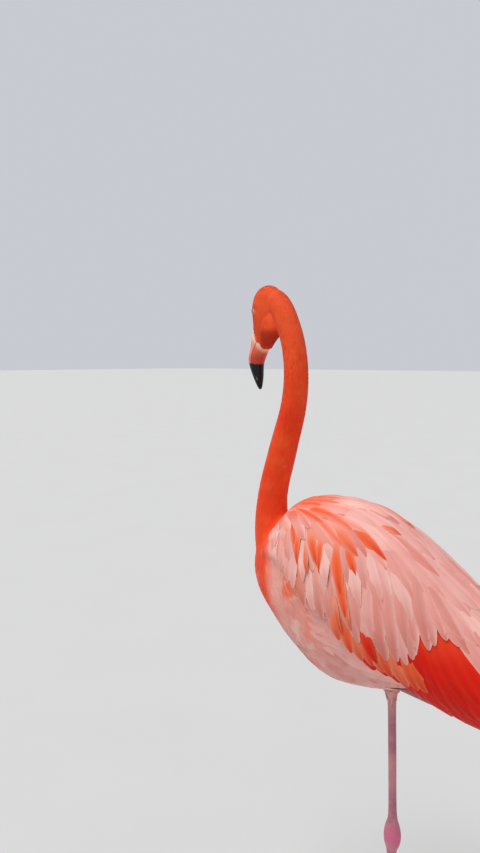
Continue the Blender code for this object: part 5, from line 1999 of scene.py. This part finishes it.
# Tiers of long feathers, from a few: tip x, degrees, turn, length, width
PRIMARIES = ((0.165, 151, 36, 0.12, 0.024), (0.225, 146, 28, 0.14, 0.024),
             (0.290, 118, 20, 0.15, 0.022), (0.340, 84, 16, 0.16, 0.018))
SECONDARIES = ((0.025, 121, 72, 0.07, 0.038), (0.085, 130, 62, 0.08, 0.040), (0.140, 143, 54, 0.10, 0.041),
               (0.195, 143, 42, 0.11, 0.040), (0.245, 118, 32, 0.11, 0.036), (0.272, 96, 26, 0.13, 0.034))
RED_COVERTS = ((0.070, 114, 68, 0.080, 0.034), (0.110, 122, 60, 0.090, 0.040), (0.150, 127, 52, 0.100, 0.042),
               (0.195, 118, 40, 0.110, 0.040), (0.238, 100, 30, 0.110, 0.036), (0.262, 84, 26, 0.120, 0.034))
ORANGE_COVERTS = ((-0.020, 107, 74, 0.060, 0.026), (0.025, 117, 70, 0.068, 0.030),
                  (0.065, 122, 66, 0.078, 0.032), (0.098, 120, 62, 0.084, 0.032))
TERTIALS = ((0.262, 76, 27, 0.13, 0.034), (0.290, 52, 20, 0.14, 0.032),
            (0.315, 27, 15, 0.15, 0.030), (0.300, 8, 12, 0.14, 0.028))
# Where the pink feathers end over the red ones: tip x, degrees, turn, length, width
PINK_EDGE = ((-0.178, 58, 88, 0.050, 0.018), (-0.140, 76, 84, 0.064, 0.022), (-0.100, 87, 78, 0.078, 0.026),
             (-0.050, 95, 72, 0.088, 0.029), (-0.010, 100, 70, 0.094, 0.031), (0.030, 103, 72, 0.098, 0.033),
             (0.066, 103, 74, 0.100, 0.034), (0.094, 90, 70, 0.100, 0.034), (0.118, 70, 50, 0.100, 0.033),
             (0.155, 59, 34, 0.110, 0.032), (0.205, 52, 27, 0.120, 0.032))

# Feathers that stand out in the photograph: tip x, degrees, turn, length, width, kind
SHOWN = (
    (-0.103, 69, 72, 0.058, 0.013, 1),
    (-0.082, 73, 66, 0.050, 0.013, 5),
    (-0.066, 66, 54, 0.062, 0.016, 1),
    (-0.062, 70, 78, 0.062, 0.013, 1),
    (-0.018, 82, 66, 0.105, 0.023, 1),
    (-0.008, 93, 66, 0.080, 0.018, 1),
    (-0.002, 64, 48, 0.060, 0.019, 1),
    (0.033, 43, 13, 0.100, 0.024, 1),
    (-0.004, 52, 25, 0.085, 0.028, 5),
    (0.036, 16, -12, 0.046, 0.017, 5),
    (-0.018, 101, 66, 0.050, 0.010, 1),
    (-0.003, 96, 66, 0.050, 0.010, 5),
    (0.034, 112, 58, 0.050, 0.018, 2),
    (-0.047, 76, 69, 0.070, 0.024, 4),
    (-0.088, 78, 76, 0.060, 0.020, 4),
    (0.010, 80, 60, 0.085, 0.027, 4),
    (0.040, 70, 54, 0.090, 0.028, 4),
)


def field_turn(x, degrees):
    """How steeply the wing's feathers lie: level over the back, and hanging on the side."""
    turn = np.interp(degrees, (0, 17, 30, 43, 58, 70, 80, 100, 120), (4, -1, 7, 18, 38, 54, 66, 74, 76))
    turn = turn + 30 * ramp(-x, 0.05, 0.15) * ramp(degrees, 8, 36)
    return turn * (1 - 0.55 * ramp(x, 0.10, 0.2))


def grown(x, degrees):
    """How much of its full size a wing feather has, from the shoulder back."""
    return 0.36 + 0.64 * ramp(x + 0.0009 * (degrees - 20), -0.175, -0.015)


def field():
    """Rows for long feathers spread over the wing, each with its room along and across its own lie."""
    taken = np.zeros((0, 2))
    rows = []
    for _ in range(FIELD_TRIES):
        x = draw.uniform(-0.192, 0.235)
        top = pink_until(x) - 5
        degrees = draw.uniform(3.0, 98)
        if degrees > top:
            continue
        turn = field_turn(x, degrees) + draw.normal(0, 3.0)
        size = grown(x, degrees)
        place = (x, math.radians(degrees) * wing_radius(x))
        apart = taken - place
        cosine, sine = math.cos(math.radians(turn)), math.sin(math.radians(turn))
        along = apart[:, 0] * cosine + apart[:, 1] * sine
        across = apart[:, 1] * cosine - apart[:, 0] * sine
        if ((along / (0.044 * size)) ** 2 + (across / (0.0150 * size)) ** 2 < 1).any():
            continue
        taken = np.concatenate((taken, (place,)))
        length = 0.108 * size * draw.uniform(0.9, 1.1)
        width = 0.031 * size**0.9 * draw.uniform(0.92, 1.08)
        front = front_share(x)
        lift = (0.0060 + draw.uniform(-0.0002, 0.0002)) * front
        lift -= 0.0018 * (low_shoulder(x) * ramp(degrees, top - 30, top - 10))
        blunt = draw.uniform(0.45, 0.85)
        roll = draw.normal(5, 3)
        rows.append((x, degrees, turn, length, width, lift, lift - 0.0042 * front, blunt, roll, 0))
    rows = np.array(rows)
    return rows[rows[:, 0] > -0.172]


def pink_until(x):
    """Degrees round from the back down to which the wing is pink."""
    return np.interp(x, *np.array(PINK_EDGE)[:, :2].T)


def front_share(x):
    """How much of its full lift a feather near the wing's front has."""
    return 0.30 + 0.70 * ramp(x, -0.185, -0.10)


def low_shoulder(x):
    """How much lower the feathers lie, behind the wing's front edge."""
    return ramp(-x, -0.01, 0.05) * (1 - ramp(-x, 0.09, 0.12))


def lining():
    """Rows for an even layer of feathers under the field's, which closes its chance gaps."""
    rows = []
    for k, x in enumerate(np.arange(-0.130, 0.235, 0.026)):
        size = grown(x, 40.0)
        sizes = (0.100 * size, 0.036 * size**0.9, 0.0042 * size, 0.0004 * size)
        for degrees in np.arange(9.0 + 5 * (k % 2), pink_until(x) - 18, 11.0):
            rows.append((x, degrees, field_turn(x, degrees), *sizes, 0.8, 3, 0))
    return np.array(rows)


def back_rows():
    """Rows for feathers along the back's middle line."""
    rows = []
    for x in np.arange(-0.150, 0.262, 0.017):
        size = grown(x, 3.0)
        sizes = (0.100 * size, 0.034 * size, 0.0050 * size, 0.0010 * size)
        rows.append((x, draw.uniform(1.5, 6.0), draw.uniform(-2, 5), *sizes, 0.8, 2, 0))
    return rows


def moved(rows, x_by, degrees_by):
    """A tier's rows moved along and round the wing."""
    return [(x + x_by, degrees + degrees_by, *rest) for x, degrees, *rest in rows]


def wing_rows(side):
    """The rows of each group of feathers, from the lowest layer up."""
    groups = {"primaries": tier(PRIMARIES, 10, 0.0012, -0.004, 0.75, 0, (3,), 0.5, 0.95)}
    groups["secondaries"] = np.concatenate((
        tier(SECONDARIES, 18, 0.0022, -0.003, 0.95, 4, (2,), 0.6, 0.82),
        tier(RED_COVERTS, 14, 0.0034, -0.002, 0.9, 6, (2,), 0.8, 0.92),
        tier(moved(RED_COVERTS, -0.016, -15), 13, 0.0038, -0.001, 0.9, 6, (2,), 0.8, 0.92)))
    orange = tier(ORANGE_COVERTS, 10, 0.0044, -0.001, 0.8, 6, (1, 5, 1, 2), 0.8, 0.9)
    tertials = tier(TERTIALS, 11, 0.0044, 0.0012, 0.8, 4, (0,), 1.0, 0.90)
    ahead = tier(moved(TERTIALS, -0.045, 0), 11, 0.0050, 0.0018, 0.8, 4, (0,), 1.0, 0.90)
    edge = tier(PINK_EDGE, 28, 0.0050, 0.0006, 0.8, 6, (0,), 1.0, 0.86)
    edge = edge[edge[:, 0] > -0.166]
    edge[:, 5] *= front_share(edge[:, 0])
    edge[:, 5] -= 0.0022 * ramp(-edge[:, 0], -0.01, 0.05) * (1 - ramp(-edge[:, 0], 0.09, 0.12))
    groups["coverts"] = np.concatenate((orange, tertials, ahead, edge, back_rows()))
    groups["scapulars"] = np.concatenate((field(), lining()))
    shown = []
    for x, degrees, turn, length, width, kind in SHOWN:
        if side < 0:
            x, degrees, turn = (value + draw.normal(0, spread)
                                for value, spread in ((x, 0.012), (degrees, 5), (turn, 6)))
        shown.append((x, degrees, turn, length, width, 0.0069, 0.0020, 0.38, 4, kind))
    groups["showy"] = np.array(shown)
    return groups


def make_wings():
    """The long feathers of both folded wings, a piece for each group."""
    for side, name in SIDES:
        for group, rows in wing_rows(side).items():
            nodes = (f"wing_{name}",) if group == "coverts" else ()
            vanes_over(f"{group}_{name}", side, rows, nodes)


# Tail

def tail_colour(t, across):
    """Pink at the root and red at the tip, with paler edges and a darker shaft."""
    base = tinted(linear(PINK), TAIL_RED, ramp(t, 0.3, 0.95))
    base = tinted(base, TAIL_EDGE, 0.6 * np.abs(across) ** 4)
    return base * (1 - 0.08 * bell(across, 0, 0.05))[..., None]


def tail_rows():
    """Rows for the tail: place along it, turn aside in radians, length, width and lift."""
    rows = []
    for out in np.arange(12) - 5.5:
        lift = 0.0034 - 0.00042 * abs(out) + 0.0001 * out
        rows.append((0.0, math.radians(2.1 * out), 0.118 - 0.0004 * out**2, 0.024, lift))
    for count, back, spread, length, lift, step in ((14, -0.008, 13, 0.062, 0.0062, 0.0002),
                                                    (12, -0.010, 12, 0.066, -0.0042, -0.0002)):
        for k in range(count):
            turn = math.radians(draw.uniform(-spread, spread))
            rows.append((back, turn, length + draw.uniform(-0.008, 0.008), 0.019, lift + step * k))
    return np.array(rows)


def make_tail():
    """Twelve tail feathers in a shallow fan, with coverts above and below their roots."""
    rows = tail_rows()
    back, turn, length, width, lift = rows.T
    count, rings = len(rows), len(flight.along)
    ahead, aside, above = np.array((0.905, 0, -0.425)), np.array((0, -1.0, 0)), np.array((0.425, 0, 0.905))
    along = np.cos(turn)[:, None] * ahead + np.sin(turn)[:, None] * aside
    across_way = np.cos(turn)[:, None] * aside - np.sin(turn)[:, None] * ahead
    root = TAIL_ROOT + back[:, None] * ahead + lift[:, None] * above
    t = np.append(flight.along, 1.0)
    spine = root[:, None] + along[:, None] * (length[:, None] * t[None])[..., None]
    spine = spine + above * (0.0016 * t[None] ** 2 * np.sign(lift)[:, None])[..., None]
    half = width[:, None] / 2 * flight.wide[None] * draw.uniform(0.97, 1.03, (count, rings))
    across, under = vane_parts(flight)
    shift = half[..., None] * across
    up = 0.0004 * (1 - under) + 0.0003 * bell(across, 0, 0.08) * (1 - under)
    up = up - 0.12 * half[..., None] * across**2
    up = up * np.where(lift > -0.002, 1.0, -1.0)[:, None, None]
    body = spine[:, :rings, None] + shift[..., None] * across_way[:, None, None] + up[..., None] * above
    tint = tail_colour(t[None, :rings, None] + 0 * across, across + 0 * shift)
    tint = tint * draw.uniform(0.93, 1.07, (count, 1, 1, 1))
    place, patch = ranked_cells(turn + 0.2 * (length > 0.08), lift)
    vane, bake = vane_maps(flight, length, half, place, patch)
    tint = with_tip(tint, tint[:, -1, 5])
    coat_object("tail_feathers", flight, with_tip(body, spine[:, -1]), tint, vane, bake, satin,
                None, ("tail",))


# Floor, light and camera

FLOOR_DARK = (0.580, 0.575, 0.563, 1)
FLOOR_LIGHT = (0.600, 0.595, 0.582, 1)


def make_floor():
    """A plain pale floor."""
    bm = bmesh.new()
    bmesh.ops.create_grid(bm, x_segments=24, y_segments=24, size=60.0)
    mesh = bpy.data.meshes.new("floor")
    bm.to_mesh(mesh)
    bm.free()
    floor = linked("floor", mesh)
    floor.location = (0.0, 0.0, -0.0006)
    material, tree, shader = new_material("floor_pale")
    shader.inputs["Roughness"].default_value = 0.9
    place = add_node(tree, "TexCoord", {})["Object"]
    patches = add_node(tree, "TexNoise", {"Vector": place, "Scale": 3.0, "Detail": 2.0})["Fac"]
    tone = add_node(tree, "MixRGB", {"Fac": patches, "Color1": FLOOR_DARK, "Color2": FLOOR_LIGHT})
    tree.links.new(tone["Color"], shader.inputs["Base Color"])
    mesh.materials.append(material)


def make_light():
    """Soft light from all round and a broad sun from above."""
    world = bpy.data.worlds.new("studio")
    bpy.context.scene.world = world
    world.use_nodes = True
    background = world.node_tree.nodes["Background"].inputs
    background["Color"].default_value = (0.90, 0.93, 1.0, 1)
    background["Strength"].default_value = 0.64
    sky = bpy.data.lights.new("sky_light", "SUN")
    sky.energy = 2.05
    sky.angle = math.radians(38)
    sky.color = (1.0, 0.985, 0.96)
    linked("sky_light", sky).rotation_euler = Vector((0.22, 0.34, -1.0)).to_track_quat("-Z", "Y").to_euler()


def make_camera():
    """The photograph's view."""
    camera = bpy.data.cameras.new("camera")
    camera.sensor_fit = "VERTICAL"
    camera.sensor_height = 36
    camera.lens = CAMERA_LENS
    obj = linked("camera", camera)
    obj.location = CAMERA_PLACE
    obj.rotation_euler = (math.radians(90 - CAMERA_TILT), 0, math.radians(CAMERA_TURN))
    bpy.context.scene.camera = obj


make_camera()
make_light()
make_floor()
skin = make_skin()
paint(skin, skin_tint(points_of(skin)))
finish_piece(skin, bare, (
    "torso", "neck_lower", "neck_middle", "neck_upper", "head", "thigh_left", "thigh_right",
    "shank_left", "ankle_left", "tarsus_left", "foot_left",
    "shank_right", "ankle_right", "tarsus_right", "foot_right",
))
skin_drape = Drape(skin, on_limbs)
make_eyes()
make_bill()
make_claws()
make_body_feathers()
make_down()
make_front()
make_leg_roots()
make_fold()
make_shoulders()
make_neck_coat()
make_head_coat()
make_thigh_coat()
make_vent()
draw = np.random.default_rng(31)
make_wings()
make_tail()

bpy.context.scene.view_settings.view_transform = "Standard"
